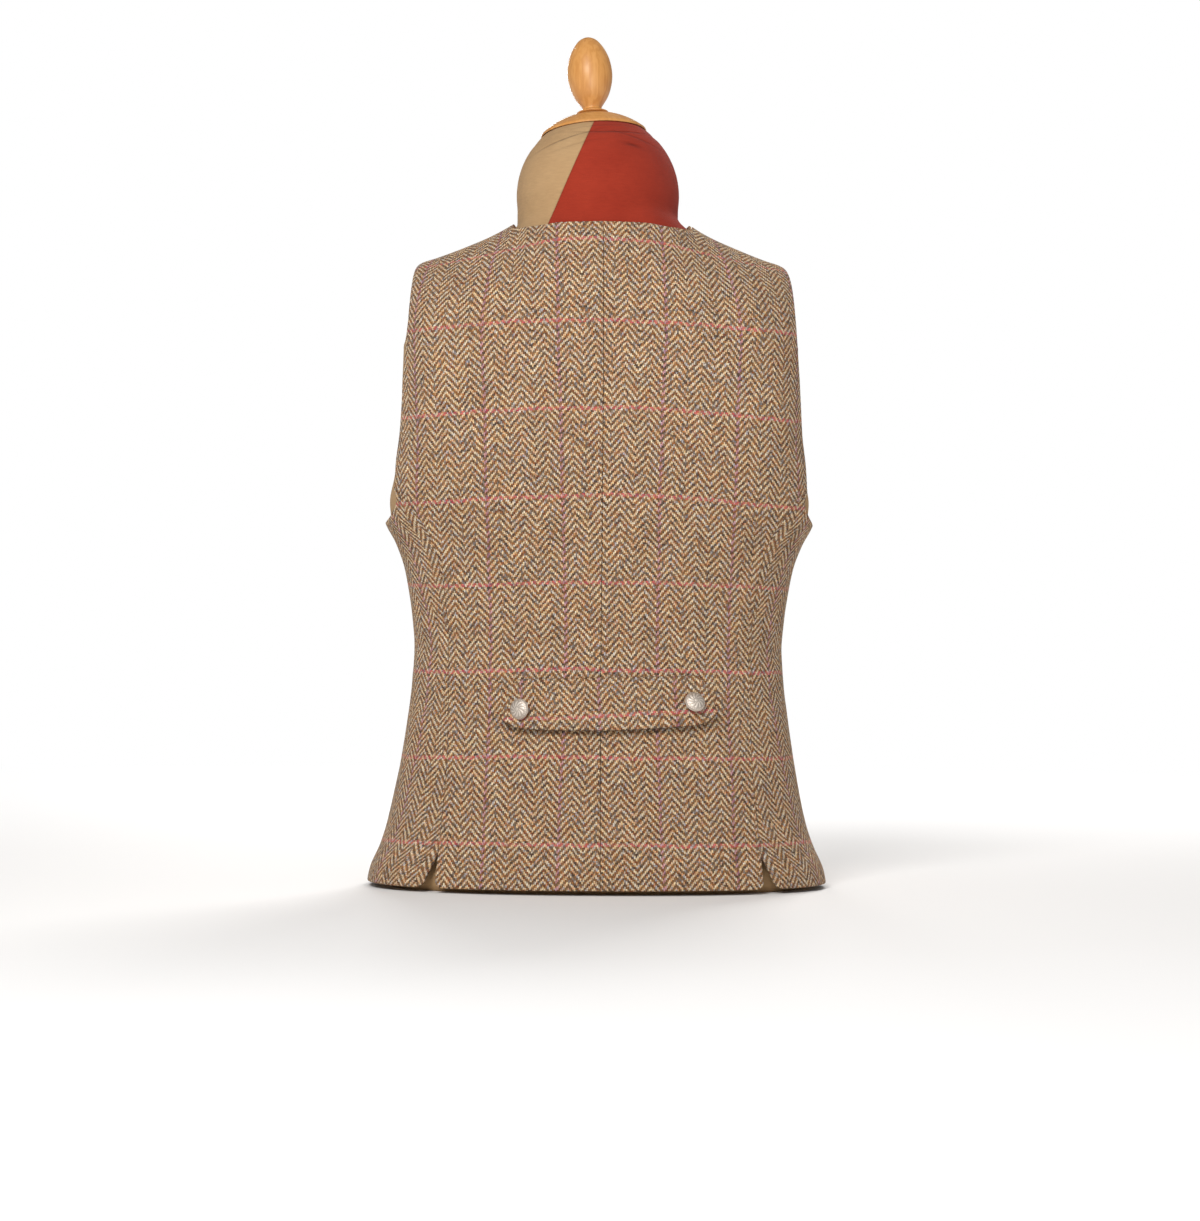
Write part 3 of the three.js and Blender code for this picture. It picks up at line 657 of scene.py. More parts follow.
def band(ids):
    """The faces between closed rings of points, and the first and last ring's edges."""
    beside = np.roll(ids, -1, axis=1)
    faces = np.stack([ids[:-1], beside[:-1], beside[1:], ids[1:]], -1).reshape(-1, 4)
    return faces, list(zip(ids[0], beside[0])), list(zip(ids[-1], beside[-1]))


def lathe(profile, segments):
    """Points and faces of a closed turned solid; the profile runs from axis to axis."""
    profile = np.asarray(profile, float)
    angle = np.arange(segments) / segments * 2 * math.pi
    ring = profile[1:-1]
    r, z = ring[:, :1], ring[:, 1:]
    points = np.stack([r * np.cos(angle), r * np.sin(angle), z + 0 * angle], -1).reshape(-1, 3)
    sides, low, high = band(np.arange(len(points)).reshape(len(ring), segments))
    first, last = len(points), len(points) + 1
    points = np.concatenate([points, [[0, 0, profile[0, 1]], [0, 0, profile[-1, 1]]]])
    faces = sides.tolist() + [[first, b, a] for a, b in low] + [[last, a, b] for a, b in high]
    return points, faces


def renumbered(faces, by):
    return [[k + by for k in face] for face in faces]


def turned_by(points, axis, angle):
    return points @ np.array(Matrix.Rotation(angle, 3, axis)).T


def button_relief(points):
    """Flutes, beads, a boss and a groove on a button's face, as heights at its points."""
    r, angle = np.hypot(points[:, 0], points[:, 1]), np.arctan2(points[:, 1], points[:, 0])
    share = r / BUTTON["radius"]
    flutes = np.cos(11 * angle + 9 * share)
    flutes = flutes * smooth((share - 0.2) / 0.12) * smooth((0.8 - share) / 0.08)
    beads = np.cos(28 * angle) * np.exp(-(((share - 0.88) / 0.05) ** 2))
    boss = 1.6 * np.exp(-((share / 0.13) ** 2)) - np.exp(-(((share - 0.2) / 0.035) ** 2))
    groove = -1.2 * np.exp(-(((share - 0.8) / 0.03) ** 2))
    on_face = points[:, 2] > BUTTON["rim"] + 0.05
    return np.where(on_face, flutes + beads + boss + groove, 0)


def button(node, place, stand_off, lean_round, lean_up, material):
    """A domed metal button with a fluted and beaded face, on a shank."""
    radius, rim, dome, shank, long = (
        BUTTON[key] for key in ("radius", "rim", "dome", "shank", "shank_length")
    )
    low = [(0.02, 0), (4, -0.1), (radius - 0.8, 0), (radius, rim * 0.6), (radius - 0.3, rim)]
    arc = np.linspace(0, math.pi / 2, 30)[1:]
    high = np.stack([(radius - 0.3) * np.cos(arc), rim + dome * np.sin(arc)], -1)
    profile = np.concatenate([spline(low, 4), high])
    profile[0, 0] = profile[-1, 0] = 0
    points, faces = lathe(profile, 112)
    relief = button_relief(points)
    points[:, 2] += 0.1 * relief
    points = turned_by(turned_by(points, "X", lean_up), "Y", lean_round) + [0, 0, long]
    stem, stem_faces = lathe([(0, 0), (shank * 0.8, 0), (shank, 0.3), (shank * 0.75, 1.6),
                              (shank * 0.8, long + 0.6), (0, long + 0.6)], 24)
    faces += renumbered(stem_faces, len(points))
    values = {"relief": np.concatenate([relief, np.zeros(len(stem))])}
    points = np.concatenate([points, stem])
    point, out = place
    right = unit(np.cross([0, 0, 1.0], out))
    basis = np.stack([right, np.cross(out, right), out], -1)
    points = point + out * stand_off + points @ basis.T
    made = mesh_object(f"metal_{node}", points, faces, [material], values=values)
    finish_piece(made, "pewter", node)


# Node trees.
def linear(red, green, blue):
    """A colour read from 0 to 255, as Blender's linear colour."""
    return tuple(c / 12.92 if c <= 0.04045 else ((c + 0.055) / 1.055) ** 2.4
                 for c in (red / 255, green / 255, blue / 255)) + (1.0,)


class Tree:
    """Builds a material's nodes, with sockets or values as inputs."""

    def __init__(self, name):
        self.material = bpy.data.materials.new(name)
        self.material.use_nodes = True
        self.tree = self.material.node_tree
        self.shader = self.tree.nodes["Principled BSDF"]

    def add(self, kind, inputs=None, **settings):
        made = self.tree.nodes.new("ShaderNode" + kind)
        for key, value in settings.items():
            setattr(made, key, value)
        for key, value in (inputs or {}).items():
            self.put(made.inputs[key], value)
        return made

    def put(self, socket, value):
        if isinstance(value, bpy.types.NodeSocket):
            self.tree.links.new(value, socket)
        else:
            socket.default_value = value

    def math(self, operation, *values):
        return self.add("Math", dict(enumerate(values)), operation=operation).outputs[0]

    def times(self, a, b):
        return self.math("MULTIPLY", a, b)

    def plus(self, a, b):
        return self.math("ADD", a, b)

    def minus(self, a, b):
        return self.math("SUBTRACT", a, b)

    def least(self, a, b):
        return self.math("MINIMUM", a, b)

    def most(self, a, b):
        return self.math("MAXIMUM", a, b)

    def within(self, value):
        """The value, held from 0 to 1."""
        return self.least(self.most(value, 0), 1)

    def shade(self, colour, tone):
        return self.mix(1.0, colour, self.vector(tone, tone, tone), "MULTIPLY")

    def place(self):
        return self.add("TexCoord").outputs["Object"]

    def mix(self, share, a, b, blend="MIX"):
        made = self.add("Mix", {0: share, 6: a, 7: b}, data_type="RGBA", blend_type=blend)
        return made.outputs[2]

    def ramp(self, share, stops):
        made = self.add("ValToRGB", {0: share})
        elements = made.color_ramp.elements
        while len(elements) < len(stops):
            elements.new(0.5)
        for element, (at, colour) in zip(elements, stops):
            element.position = at
            element.color = colour
        return made.outputs[0]

    def noise(self, vector, scale, detail=2.0, roughness=0.5):
        settings = {"Vector": vector, "Scale": scale, "Detail": detail, "Roughness": roughness}
        return self.add("TexNoise", settings).outputs["Fac"]

    def vector(self, x, y, z=0.0):
        return self.add("CombineXYZ", {0: x, 1: y, 2: z}).outputs[0]

    def bump(self, height, strength, distance):
        made = self.add("Bump", {"Height": height, "Strength": strength, "Distance": distance})
        self.put(self.shader.inputs["Normal"], made.outputs[0])

    def set(self, **values):
        for key, value in values.items():
            self.put(self.shader.inputs[key.replace("_", " ")], value)


def tweed():
    """Herringbone tweed from its own yarns: light warp over dark weft in a two and two twill that
    turns back every eight ends, with a pink check row and a lilac check line."""
    t = Tree("tweed")
    flat = t.add("SeparateXYZ", {0: t.add("UVMap", uv_map="cloth").outputs[0]})
    u = t.times(flat.outputs[0], 1 / (END * MM))
    v = t.times(flat.outputs[1], 1 / (PICK * MM))
    where = t.vector(u, v)
    other = t.vector(v, u, 7.0)
    for scale, reach in ((1.3, 0.5), (0.5, 0.8), (0.11, 1.5)):
        stray = t.times(t.minus(t.noise(where, scale, 1.0), 0.5), reach)
        stray_v = t.times(t.minus(t.noise(other, scale, 1.0), 0.5), reach)
        u = t.plus(u, stray)
        v = t.plus(v, stray_v)
    end, pick = t.math("FLOOR", u), t.math("FLOOR", v)
    in_end, in_pick = t.math("FRACT", u), t.math("FRACT", v)
    parity = t.math("FLOORED_MODULO", t.math("FLOOR", t.math("DIVIDE", u, COLUMN_ENDS)), 2)
    way = t.minus(t.times(parity, 2), 1)
    step = t.plus(t.plus(t.times(end, way), pick), t.times(parity, 2))
    phase = t.math("FLOORED_MODULO", step, 4)
    over = t.math("LESS_THAN", phase, 1.5)
    warp_along = t.times(t.plus(phase, in_pick), 0.5)
    forward = t.minus(phase, 2)
    backward = t.minus(3, phase)
    weft_step = t.plus(backward, t.times(parity, t.minus(forward, backward)))
    weft_along = t.times(t.plus(weft_step, in_end), 0.5)

    def crown(at):
        """0 at the ends of a share from 0 to 1, and 1 in its middle."""
        return t.times(t.times(at, t.minus(1, at)), 4)

    def float_height(along, across):
        return t.times(t.math("POWER", t.most(crown(along), 0), 0.6),
                      t.math("POWER", t.most(crown(across), 0), 0.5))

    warp_height = float_height(warp_along, in_end)
    weft_height = t.times(float_height(weft_along, in_pick), 0.75)

    # Each yarn is spun from flecks of several dyed wools, which change along it.
    repeat = t.math("FLOOR", t.times(step, 0.25))

    def fleck(along, yarn, seed):
        """A tone from 0 to 1 that changes along a yarn, and again at each of its floats."""
        place = t.vector(t.times(yarn, 5.13), t.times(along, 0.34), seed)
        drift = t.noise(place, 1.0, 1.5, 0.6)
        place = t.vector(yarn, repeat, seed)
        own = t.add("TexWhiteNoise", {"Vector": place}, noise_dimensions="3D").outputs["Value"]
        tone = t.plus(t.times(t.minus(drift, 0.5), 1.9), t.times(own, 0.6))
        return t.plus(tone, 0.2)

    warp_fleck, weft_fleck = fleck(v, end, 1.7), fleck(u, pick, 9.2)
    warp = t.ramp(warp_fleck, [
        (0.08, linear(127, 114, 108)),
        (0.2, linear(172, 159, 152)),
        (0.3, linear(218, 203, 184)),
        (0.42, linear(200, 164, 118)),
        (0.52, linear(227, 212, 188)),
        (0.63, linear(188, 137, 92)),
        (0.73, linear(215, 191, 164)),
        (0.83, linear(194, 137, 100)),
        (0.95, linear(180, 170, 170)),
    ])
    weft = t.ramp(weft_fleck, [
        (0.08, linear(89, 69, 60)),
        (0.2, linear(114, 96, 80)),
        (0.33, linear(152, 104, 62)),
        (0.45, linear(128, 86, 54)),
        (0.56, linear(116, 104, 88)),
        (0.67, linear(166, 110, 64)),
        (0.78, linear(128, 71, 50)),
        (0.92, linear(91, 72, 56)),
    ])

    def in_check(yarn):
        """1 on the two coloured yarns of each check, and 0 elsewhere."""
        return t.math("LESS_THAN", t.math("FLOORED_MODULO", t.plus(yarn, 1), CHECK_YARNS), 1.5)

    in_row, in_line = in_check(pick), in_check(end)
    pink = t.mix(weft_fleck, linear(182, 66, 86), linear(226, 124, 118))
    lilac = t.mix(warp_fleck, linear(148, 84, 112), linear(204, 150, 168))
    faded = [(0.38, (0.25, 0.25, 0.25, 1)), (0.5, (1, 1, 1, 1))]
    dash = t.ramp(t.noise(t.vector(u, pick, 21.0), 0.42, 2.0), faded)
    weft = t.mix(t.times(t.times(in_row, 0.8), dash), weft, pink)
    warp = t.mix(t.times(in_line, 0.72), warp, lilac)
    warp = t.mix(t.times(in_row, 0.1), warp, pink)
    yarn = t.mix(over, weft, warp)

    height = t.plus(t.times(weft_height, t.minus(1, over)),
                    t.times(warp_height, over))
    # Painted shade in the weave: each yarn is darker where it sinks under its neighbours.
    weave_shade = t.plus(0.52, t.times(height, 0.52))
    colour = t.shade(yarn, weave_shade)
    fibre = t.noise(t.vector(u, v), 3.6, 3.0, 0.7)
    mottle = t.noise(t.vector(u, v, 4.0), 0.9, 2.0, 0.65)
    fibre_tone = t.times(t.plus(0.72, t.times(fibre, 0.56)),
                        t.plus(0.3, t.times(mottle, 1.4)))
    colour = t.shade(colour, fibre_tone)
    dye = t.ramp(t.noise(t.vector(u, v, 11.0), 0.6, 2.0, 0.6), [
        (0.34, (1.1, 0.98, 0.76, 1)),
        (0.46, (1.03, 1.01, 0.91, 1)),
        (0.56, (0.97, 1.0, 1.0, 1)),
        (0.66, (0.9, 0.99, 1.13, 1)),
    ])
    colour = t.mix(1.0, colour, dye, "MULTIPLY")
    broad = t.plus(0.76, t.times(t.noise(where, 0.05, 3.0, 0.6), 0.48))
    colour = t.shade(colour, broad)
    # Painted shade: the cloth darkens along its seams, and a painted shadow lies along the belt's
    # lower edge.
    seam = t.add("Attribute", attribute_name="seam").outputs["Fac"]
    colour = t.mix(seam, colour, linear(60, 42, 32))
    t.set(Base_Color=colour, Roughness=0.92, Specular_IOR_Level=0.15, Sheen_Weight=0.1,
          Sheen_Roughness=0.6)
    t.shader.inputs["Sheen Tint"].default_value = linear(240, 225, 205)
    t.bump(t.plus(height, t.times(fibre, 0.5)), 0.55, 0.0006)
    return t.material


def lining():
    """A fine satin lining inside the cloth."""
    t = Tree("lining")
    flat = t.add("SeparateXYZ", {0: t.add("UVMap", uv_map="cloth").outputs[0]})
    u = t.times(flat.outputs[0], 2600)
    v = t.times(flat.outputs[1], 2600)
    ribs = t.math("SINE", t.plus(u, v))
    tone = t.noise(t.vector(u, v), 0.04, 3.0)
    t.set(Base_Color=t.ramp(tone, [(0.3, linear(112, 84, 66)), (0.7, linear(138, 108, 86))]),
          Roughness=0.42, Specular_IOR_Level=0.4, Sheen_Weight=0.2)
    t.bump(ribs, 0.15, 0.0002)
    return t.material


# Creases of the form's cover: length below the cap's rim, slope, bow, place from side to side,
# half width, shortness, and depth, which sets both its bump and the painted shade laid in it.
CREASES = [
    (15.0, 0.0, -14.0, -0.2, 0.9, 5.0, 1.3),
    (18.8, 20.0, 0.0, 0.42, 0.9, 8.0, 1.0),
    (29.5, -16.0, 0.0, -0.4, 1.7, 110.0, 1.1),
    (5.5, 2.0, 3.0, -0.1, 0.7, 4.0, 0.5),
    (21.0, -26.0, 0.0, -0.45, 0.9, 14.0, 0.7),
    (27.0, 12.0, 0.0, 0.3, 1.1, 12.0, 0.4),
]


def form_cloth():
    """The form's linen cover: beige, with a brick red gore behind the wearer's right shoulder."""
    t = Tree("form_cloth")
    place = t.place()
    xyz = t.add("SeparateXYZ", {0: place})
    x, y, z = xyz.outputs
    weave_x = t.math("SINE", t.times(t.plus(x, y), 6200))
    weave_z = t.math("SINE", t.times(z, 6200))
    weave = t.times(weave_x, weave_z)
    drawn = t.add("Mapping", {"Vector": place, "Scale": (140, 140, 900)}).outputs[0]
    slub = t.noise(drawn, 1.0, 3.0, 0.6)
    wear = t.noise(place, 26, 4.0)
    # The gore's edges, in metres: a seam that leans up the neck, then the side, foot and far edge.
    lean = t.minus(0.007, t.times(t.minus(z, 0.607), 0.43))
    beyond = t.minus(lean, x)
    behind = t.minus(y, 0.012)
    high = t.minus(z, 0.47)
    short_of = t.plus(x, 0.105)
    inside = t.least(t.least(beyond, behind), t.least(high, short_of))
    red = t.math("GREATER_THAN", inside, 0)
    seam = t.minus(1, t.least(t.times(t.math("ABSOLUTE", inside), 900), 1))
    beige = t.mix(wear, linear(160, 125, 86), linear(188, 155, 114))
    brick = t.mix(wear, linear(134, 38, 24), linear(164, 56, 36))
    colour = t.mix(red, beige, brick)
    centre = tuple((NECK_CENTRE + [0, CENTRE_Y, 0]) * MM)
    ray = t.add("VectorMath", {0: place, 1: centre}, operation="SUBTRACT").outputs[0]
    ray = t.add("VectorMath", {0: ray}, operation="NORMALIZE").outputs[0]
    tip = (math.sin(CAP_LEAN_SIDE), -math.sin(CAP_LEAN_FORWARD), math.cos(CAP_LEAN_FORWARD))
    lean_down = t.add("VectorMath", {0: ray, 1: tip}, operation="DOT_PRODUCT").outputs["Value"]
    below = t.times(t.math("ARCCOSINE", lean_down), NECK["radius"])
    below = t.minus(below, NECK["radius"] * RIM_ANGLE)
    beside, rearward, _ = t.add("SeparateXYZ", {0: ray}).outputs
    creases = 0.0
    for depth, slope, bow, side, width, short, deep in CREASES:
        offset = t.minus(beside, side)
        squared = t.times(offset, offset)
        line = t.plus(t.plus(depth, t.times(offset, slope)), t.times(squared, bow))
        across = t.math("DIVIDE", t.minus(below, line), width)
        crease = t.math("EXPONENT", t.times(t.times(across, across), -1))
        fade = t.times(t.math("EXPONENT", t.times(squared, -short)), deep)
        creases = t.plus(creases, t.times(crease, fade))
    creases = t.times(creases, t.within(t.times(rearward, 4)))
    tone = t.plus(0.86, t.times(slub, 0.26))
    tone = t.minus(tone, t.times(seam, 0.3))
    # Painted shade in the cover's creases.
    tone = t.minus(tone, t.times(creases, 0.36))
    colour = t.shade(colour, tone)
    t.set(Base_Color=colour, Roughness=0.88, Specular_IOR_Level=0.12, Sheen_Weight=0.05)
    relief = t.plus(t.times(weave, 0.3), t.minus(slub, seam))
    relief = t.minus(relief, t.times(creases, 3.5))
    t.bump(relief, 0.35, 0.0006)
    return t.material


def wood():
    """Varnished beech with straight grain up the turned pieces."""
    t = Tree("wood")
    place = t.place()
    grain = t.add("Mapping", {"Vector": place, "Scale": (1, 1, 0.09)}).outputs[0]
    turned = {"Vector": place, "Scale": (1, 1, 0.14), "Rotation": (0.03, 0.05, 0.3)}
    bend = t.add("Mapping", turned).outputs[0]
    rings = t.noise(bend, 95, 3.0, 0.55)
    pores = t.noise(grain, 1500, 3.0, 0.7)
    bands = t.plus(t.times(t.math("SINE", t.times(rings, 34)), 0.5), 0.5)
    tone = t.plus(t.times(rings, 0.6), t.times(bands, 0.28))
    colour = t.ramp(tone, [
        (0.2, linear(190, 128, 62)),
        (0.45, linear(201, 141, 74)),
        (0.72, linear(210, 152, 86)),
    ])
    fleck = t.times(t.math("LESS_THAN", pores, 0.36), 0.1)
    colour = t.mix(fleck, colour, linear(140, 88, 44))
    t.set(Base_Color=colour, Roughness=t.plus(0.42, t.times(pores, 0.12)),
          Specular_IOR_Level=0.4, Coat_Weight=0.2, Coat_Roughness=0.28)
    t.bump(pores, 0.08, 0.0003)
    return t.material


def pewter():
    """Brushed pale metal, darker in its hollows."""
    t = Tree("pewter")
    place = t.place()
    relief = t.add("Attribute", attribute_name="relief").outputs["Fac"]
    rough = t.noise(place, 2400, 3.0, 0.7)
    hollow = t.times(t.within(t.minus(0.3, relief)), 0.5)
    pale = t.mix(rough, linear(206, 194, 182), linear(226, 216, 204))
    colour = t.mix(hollow, pale, linear(120, 102, 86))
    t.set(Base_Color=colour, Metallic=0.7, Roughness=t.plus(0.42, t.times(rough, 0.22)))
    t.bump(rough, 0.12, 0.0002)
    return t.material


def thread():
    """Twisted buttonhole thread."""
    t = Tree("thread")
    place = t.place()
    x, _, z = t.add("SeparateXYZ", {0: place}).outputs
    twist = t.math("SINE", t.plus(t.times(x, 9000), t.times(z, 2500)))
    tone = t.plus(t.times(twist, 0.5), 0.5)
    colour = t.mix(tone, linear(92, 68, 48), linear(140, 108, 80))
    t.set(Base_Color=colour, Roughness=0.8, Sheen_Weight=0.2)
    t.bump(twist, 0.3, 0.0003)
    return t.material


def floor_material():
    """A pale floor that pales out to the backdrop's white away from the object."""
    t = Tree("floor")
    place = t.place()
    far = t.add("VectorMath", {0: place}, operation="LENGTH").outputs["Value"]
    share = t.within(t.math("DIVIDE", t.minus(far, 0.6), 1.6))
    t.set(Base_Color=linear(240, 238, 236), Roughness=0.8, Specular_IOR_Level=0.1)
    glow = t.add("Emission", {"Color": (1, 1, 1, 1), "Strength": 1.0})
    mixed = t.add("MixShader", {0: share, 1: t.shader.outputs[0], 2: glow.outputs[0]})
    t.tree.links.new(mixed.outputs[0], t.tree.nodes["Material Output"].inputs[0])
    return t.material


def dress_form(material):
    """The form's torso and neck in one skin, closed over the shoulders and at its foot."""
    steps = 260
    level, rolled = np.linspace(0, ROLL_START, 116)[:-1], np.linspace(ROLL_START, SHOULDER, 46)
    heights = np.concatenate([level, rolled])[:, None]
    turn = (np.arange(steps) / steps * 2 * math.pi)[None, :]
    rings = skin(turn, heights, CLOTH + curve(FORM_GAP, heights))
    points = rings.reshape(-1, 3)
    sides, low, _ = band(np.arange(len(points)).reshape(rings.shape[:2]))
    foot = len(points)
    points = np.concatenate([points, [[0, 0, 0]]])
    faces = sides[:, ::-1].tolist() + [[foot, a, b] for a, b in low]
    radius, drop, neck_foot = NECK["radius"], NECK["waist_drop"], NECK["foot"] - NECK["z"]
    column = math.sqrt(radius**2 - drop**2)
    arc = np.linspace(-math.asin(drop / radius), math.pi / 2, 44)
    profile = [(0, neck_foot)]
    profile += [(column, z) for z in np.linspace(neck_foot, -drop - 3, 20)]
    profile += [(radius * math.cos(a), radius * math.sin(a)) for a in arc]
    profile[-1] = (0, radius)
    neck, neck_faces = lathe(profile, 140)
    neck = neck + NECK_CENTRE
    faces += renumbered(neck_faces, len(points))
    made = mesh_object("dress_form", np.concatenate([points, neck]), faces, [material])
    remesh = made.modifiers.new("skin", "REMESH")
    remesh.mode = "VOXEL"
    remesh.voxel_size = 3.0 * MM
    remesh.use_smooth_shade = True
    evaluated = made.evaluated_get(bpy.context.evaluated_depsgraph_get())
    skinned = bpy.data.meshes.new_from_object(evaluated)
    made.modifiers.clear()
    made.data = skinned
    at = np.zeros(len(skinned.vertices) * 3)
    skinned.vertices.foreach_get("co", at)
    at = at.reshape(-1, 3)
    at[:, 2] = np.maximum(at[:, 2], 0)
    ray = at - (NECK_CENTRE + [0, CENTRE_Y, 0]) * MM
    polar = np.arctan2(np.hypot(ray[:, 0], ray[:, 1]), ray[:, 2])
    angle = np.arctan2(ray[:, 0], ray[:, 1])
    lean = CAP_LEAN_SIDE * np.sin(angle) - CAP_LEAN_FORWARD * np.cos(angle)
    below_rim = (polar - lean - RIM_ANGLE) * radius
    # The cover is drawn in by a soft uneven ring below the cap, and by shallow pleats under it.
    ring = np.exp(-(((below_rim - 11 - 2.2 * np.sin(angle * 2 + 0.6)) / 3.2) ** 2))
    ring = ring * (0.65 + 0.35 * np.sin(3 * angle + 1))
    pleats = np.sin(angle * 17 + 2 * np.sin(angle * 3)) * np.exp(-((below_rim - 6) / 14) ** 2)
    on_neck = (polar < 1.5) & (ray[:, 2] > 0) & (below_rim > 1.5)
    shift = np.where(on_neck, -0.9 * ring + 0.16 * pleats, 0) * MM
    at += unit(ray) * shift[:, None]
    skinned.vertices.foreach_set("co", at.ravel())
    skinned.polygons.foreach_set("use_smooth", [True] * len(skinned.polygons))
    skinned.materials.clear()
    skinned.materials.append(material)
    skinned.update()
    finish_piece(made, "form_cloth", "form_body")


def wooden(name, node, profile, material):
    """A turned piece about the axis that leans on the neck's round head."""
    points, faces = lathe(profile, 96)
    points = turned_by(turned_by(points, "Y", CAP_LEAN_SIDE), "X", CAP_LEAN_FORWARD)
    made = mesh_object(name, points + NECK_CENTRE, faces, [material])
    finish_piece(made, "wood", node)


def cap_and_finial(material):
    """A thin domed cap that lies just off the neck's head, and the knob on its middle."""
    seat = NECK["radius"] + CAP["clear"]
    rim_angle = math.asin(CAP["radius"] / seat)
    rim_z = seat * math.cos(rim_angle)
    top = seat + CAP["thickness"]
    under = [(seat * math.sin(a), seat * math.cos(a)) for a in np.linspace(0, rim_angle, 24)]
    share = np.linspace(0.97, 0, 40)
    reach = top - CAP["rim_thinning"] * share**2
    over = np.stack([reach * np.sin(rim_angle * share), reach * np.cos(rim_angle * share)], -1)
    out = CAP["radius"] + CAP["lip"]
    lip = spline([(out - 0.4, rim_z), (out, rim_z + 0.5), tuple(over[0])], 4)
    profile = np.concatenate([under, lip[:-1], over])
    wooden("wood_cap", "form_cap", profile, material)
    line = spline(FINIAL + [(0.1, FINIAL_HEIGHT)], 6)
    profile = np.concatenate([[(0, 0)], line]) + [0, top + SEAM_GAP]
    profile[-1, 0] = 0
    wooden("wood_finial", "form_finial", profile, material)


def buttonholes(material):
    """A worked buttonhole beside each front button, running in from the edge that it closes."""
    points, faces = [], []
    steps, sides = 72, 8
    for i in range(len(FRONT_BUTTON_LEANS)):
        z = FRONT_BUTTON_TOP - i * FRONT_BUTTON_STEP
        path = np.linspace(0, 2 * math.pi, steps, endpoint=False)
        x = -7.5 + 10.5 * np.cos(path)
        up = z + 1.15 * np.sin(path) * (1 + 0.5 * np.clip(np.cos(path), 0, 1))
        face, out = place_on(np.where(np.abs(x) < 0.01, 0.01, x), up, True)
        ahead = unit(np.roll(face, -1, axis=0) - np.roll(face, 1, axis=0))
        beside = unit(np.cross(out, ahead))
        ring = np.linspace(0, 2 * math.pi, sides, endpoint=False)[None, :, None]
        knots = (0.72 + 0.14 * np.cos(path * 36))[:, None, None]
        centre = face + out * (OVERLAP_LIFT + 0.35)
        tube = centre[:, None] + beside[:, None] * (np.cos(ring) * knots)
        tube = tube + out[:, None] * (np.sin(ring) * 0.6 * knots)
        ids = i * steps * sides + np.arange(steps * sides).reshape(steps, sides)
        after = np.roll(ids, -1, axis=0)
        quads = np.stack([ids, after, np.roll(after, -1, axis=1), np.roll(ids, -1, axis=1)], -1)
        points.append(tube.reshape(-1, 3))
        faces += quads.reshape(-1, 4).tolist()
    made = mesh_object("buttonholes", np.concatenate(points), faces, [material])
    finish_piece(made, "tweed")


# The camera comes first.
CAMERA_DISTANCE = 2.9
CAMERA_HEIGHT = 0.22
CAMERA_TURN = math.radians(1.5)
CAMERA_ROLL = math.radians(0.4)
CAMERA_SHIFT = -0.0012
FRAME_HIGH = 1221
PIXEL = 0.0008  # of the photograph, on the plane through the garment's side line
camera = bpy.data.cameras.new("camera")
camera.sensor_width = 36
camera.lens = camera.sensor_width * CAMERA_DISTANCE / (FRAME_HIGH * PIXEL)
eye = linked("camera", camera)
eye.location = (
    CAMERA_DISTANCE * math.sin(CAMERA_TURN) + CAMERA_SHIFT,
    CENTRE_Y * MM + CAMERA_DISTANCE * math.cos(CAMERA_TURN),
    CAMERA_HEIGHT,
)
eye.rotation_euler = (math.pi / 2, -CAMERA_ROLL, math.pi - CAMERA_TURN)
bpy.context.scene.camera = eye

cloth_materials = [tweed(), lining()]
pewter_metal = pewter()
beech = wood()

# Each panel on both sides; the right front laps over the left.
for word, sign in (("left", 1), ("right", -1)):
    for kind, row in PANELS.items():
        lift = front_lift if (kind, word) == ("front", "right") else None
        made = panel(f"cloth_{kind}_{word}", sign, cloth_materials, row, lift)
        finish_piece(made, "tweed", f"{kind}_{word}")

belt = belt_panel(cloth_materials)
finish_piece(belt, "tweed", "back_belt")

belt_top = BELT["clear"] + BELT["thickness"] + 1.1
for word, x, z, lean_round, lean_up in BELT_BUTTONS:
    place = place_on(x, z)
    button(f"belt_button_{word}", place, belt_top, lean_round, lean_up, pewter_metal)
for i, lean in enumerate(FRONT_BUTTON_LEANS):
    place = place_on(0.01, FRONT_BUTTON_TOP - i * FRONT_BUTTON_STEP, True)
    angle = math.radians(lean)
    button(f"front_button_{i + 1}", place, OVERLAP_LIFT + 0.6, angle, angle / 2, pewter_metal)
buttonholes(thread())

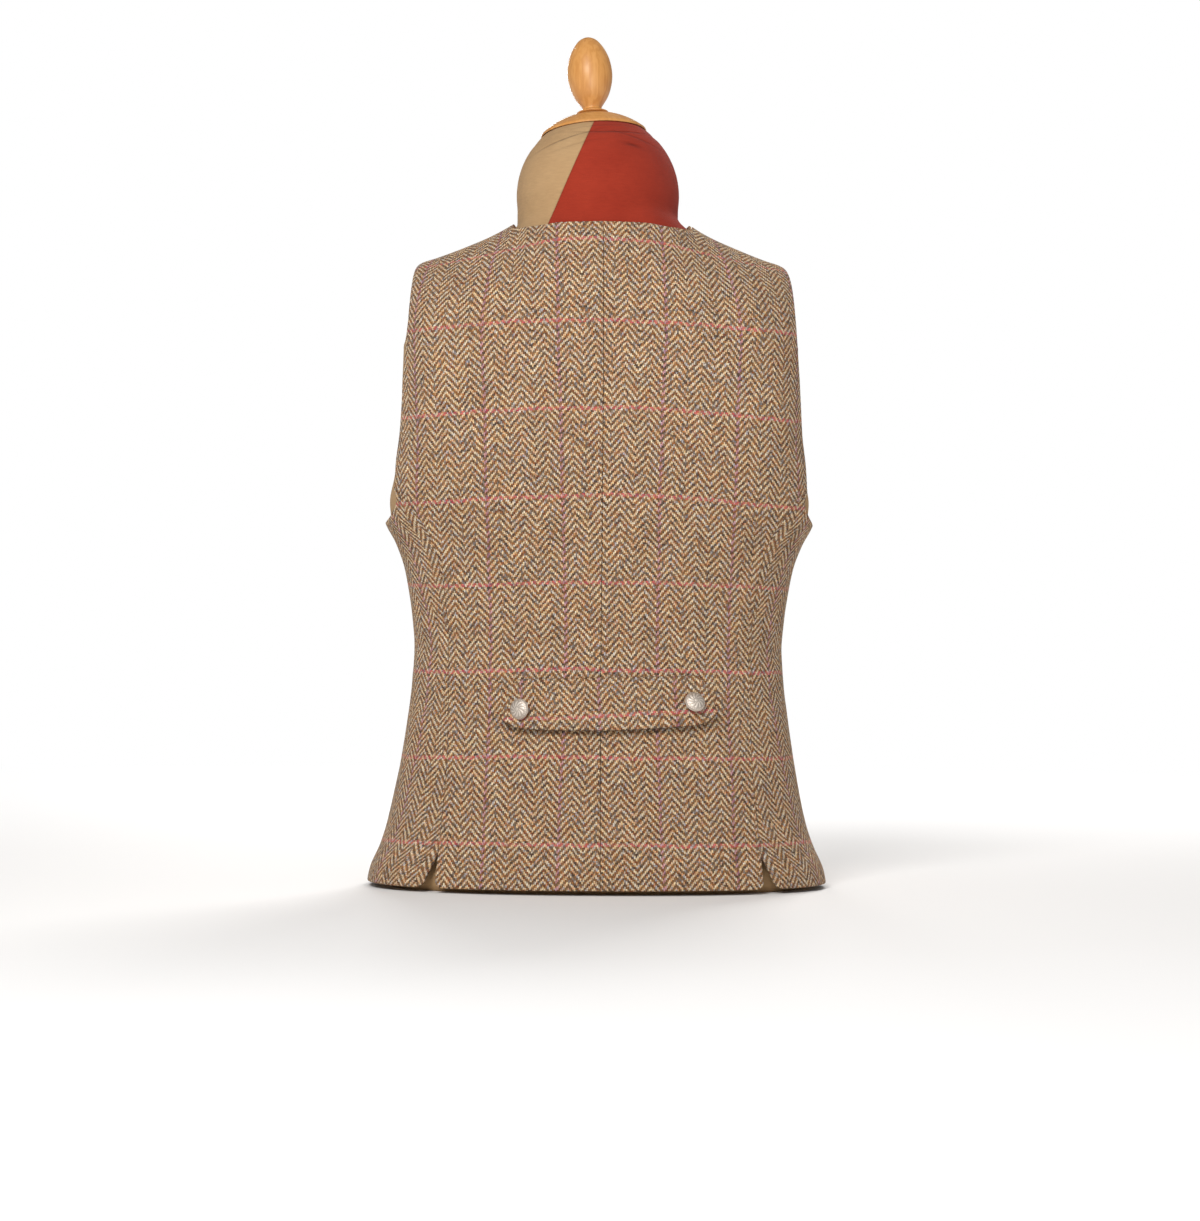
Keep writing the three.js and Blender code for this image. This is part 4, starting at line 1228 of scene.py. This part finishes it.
dress_form(form_cloth())
cap_and_finial(beech)

# The floor and the light.
FLOOR_RADIUS, FLOOR_SIDES = 30, 64
ground = bpy.data.meshes.new("floor")
angles = np.linspace(0, 2 * math.pi, FLOOR_SIDES, endpoint=False)
ground_ring = [(FLOOR_RADIUS * math.cos(a), FLOOR_RADIUS * math.sin(a), 0) for a in angles]
ground.from_pydata(ground_ring, [], [list(range(FLOOR_SIDES))])
ground.materials.append(floor_material())
linked("floor", ground)


def lamp(name, place, target, size, power, glossy=True, diffuse=True):
    data = bpy.data.lights.new(name, "AREA")
    data.shape = "RECTANGLE"
    data.size, data.size_y = size
    data.energy = power
    made = linked(name, data)
    made.location = place
    made.rotation_euler = (Vector(target) - Vector(place)).to_track_quat("-Z", "Y").to_euler()
    made.visible_camera = False
    made.visible_glossy = glossy
    made.visible_diffuse = diffuse


lamp("key", (0.7, 2.3, 1.8), (0, 0, 0.42), (0.9, 1.2), 58)
lamp("fill", (-0.8, 2.7, 1.0), (0, 0, 0.42), (1.2, 1.6), 7)
lamp("strip", (-0.05, 2.6, 0.4), (0, 0, 0.6), (0.2, 0.8), 14, diffuse=False)
lamp("front_key", (-0.7, -2.3, 1.8), (0, 0, 0.42), (0.9, 1.2), 58, False)
lamp("front_fill", (0.8, -2.7, 1.0), (0, 0, 0.42), (1.2, 1.6), 7, False)
lamp("front_strip", (0.3, -2.5, 0.9), (0, 0, 0.3), (0.5, 0.7), 26, diffuse=False)

world = bpy.data.worlds.new("studio")
bpy.context.scene.world = world
world.use_nodes = True
nodes, links = world.node_tree.nodes, world.node_tree.links
seen = nodes.new("ShaderNodeLightPath")
white = nodes["Background"]
white.inputs["Color"].default_value = (1, 1, 1, 1)
strength = nodes.new("ShaderNodeMapRange")
strength.inputs["To Min"].default_value = 0.285
strength.inputs["To Max"].default_value = 1.0
links.new(seen.outputs["Is Camera Ray"], strength.inputs["Value"])
links.new(strength.outputs["Result"], white.inputs["Strength"])
bpy.context.scene.view_settings.view_transform = "Standard"
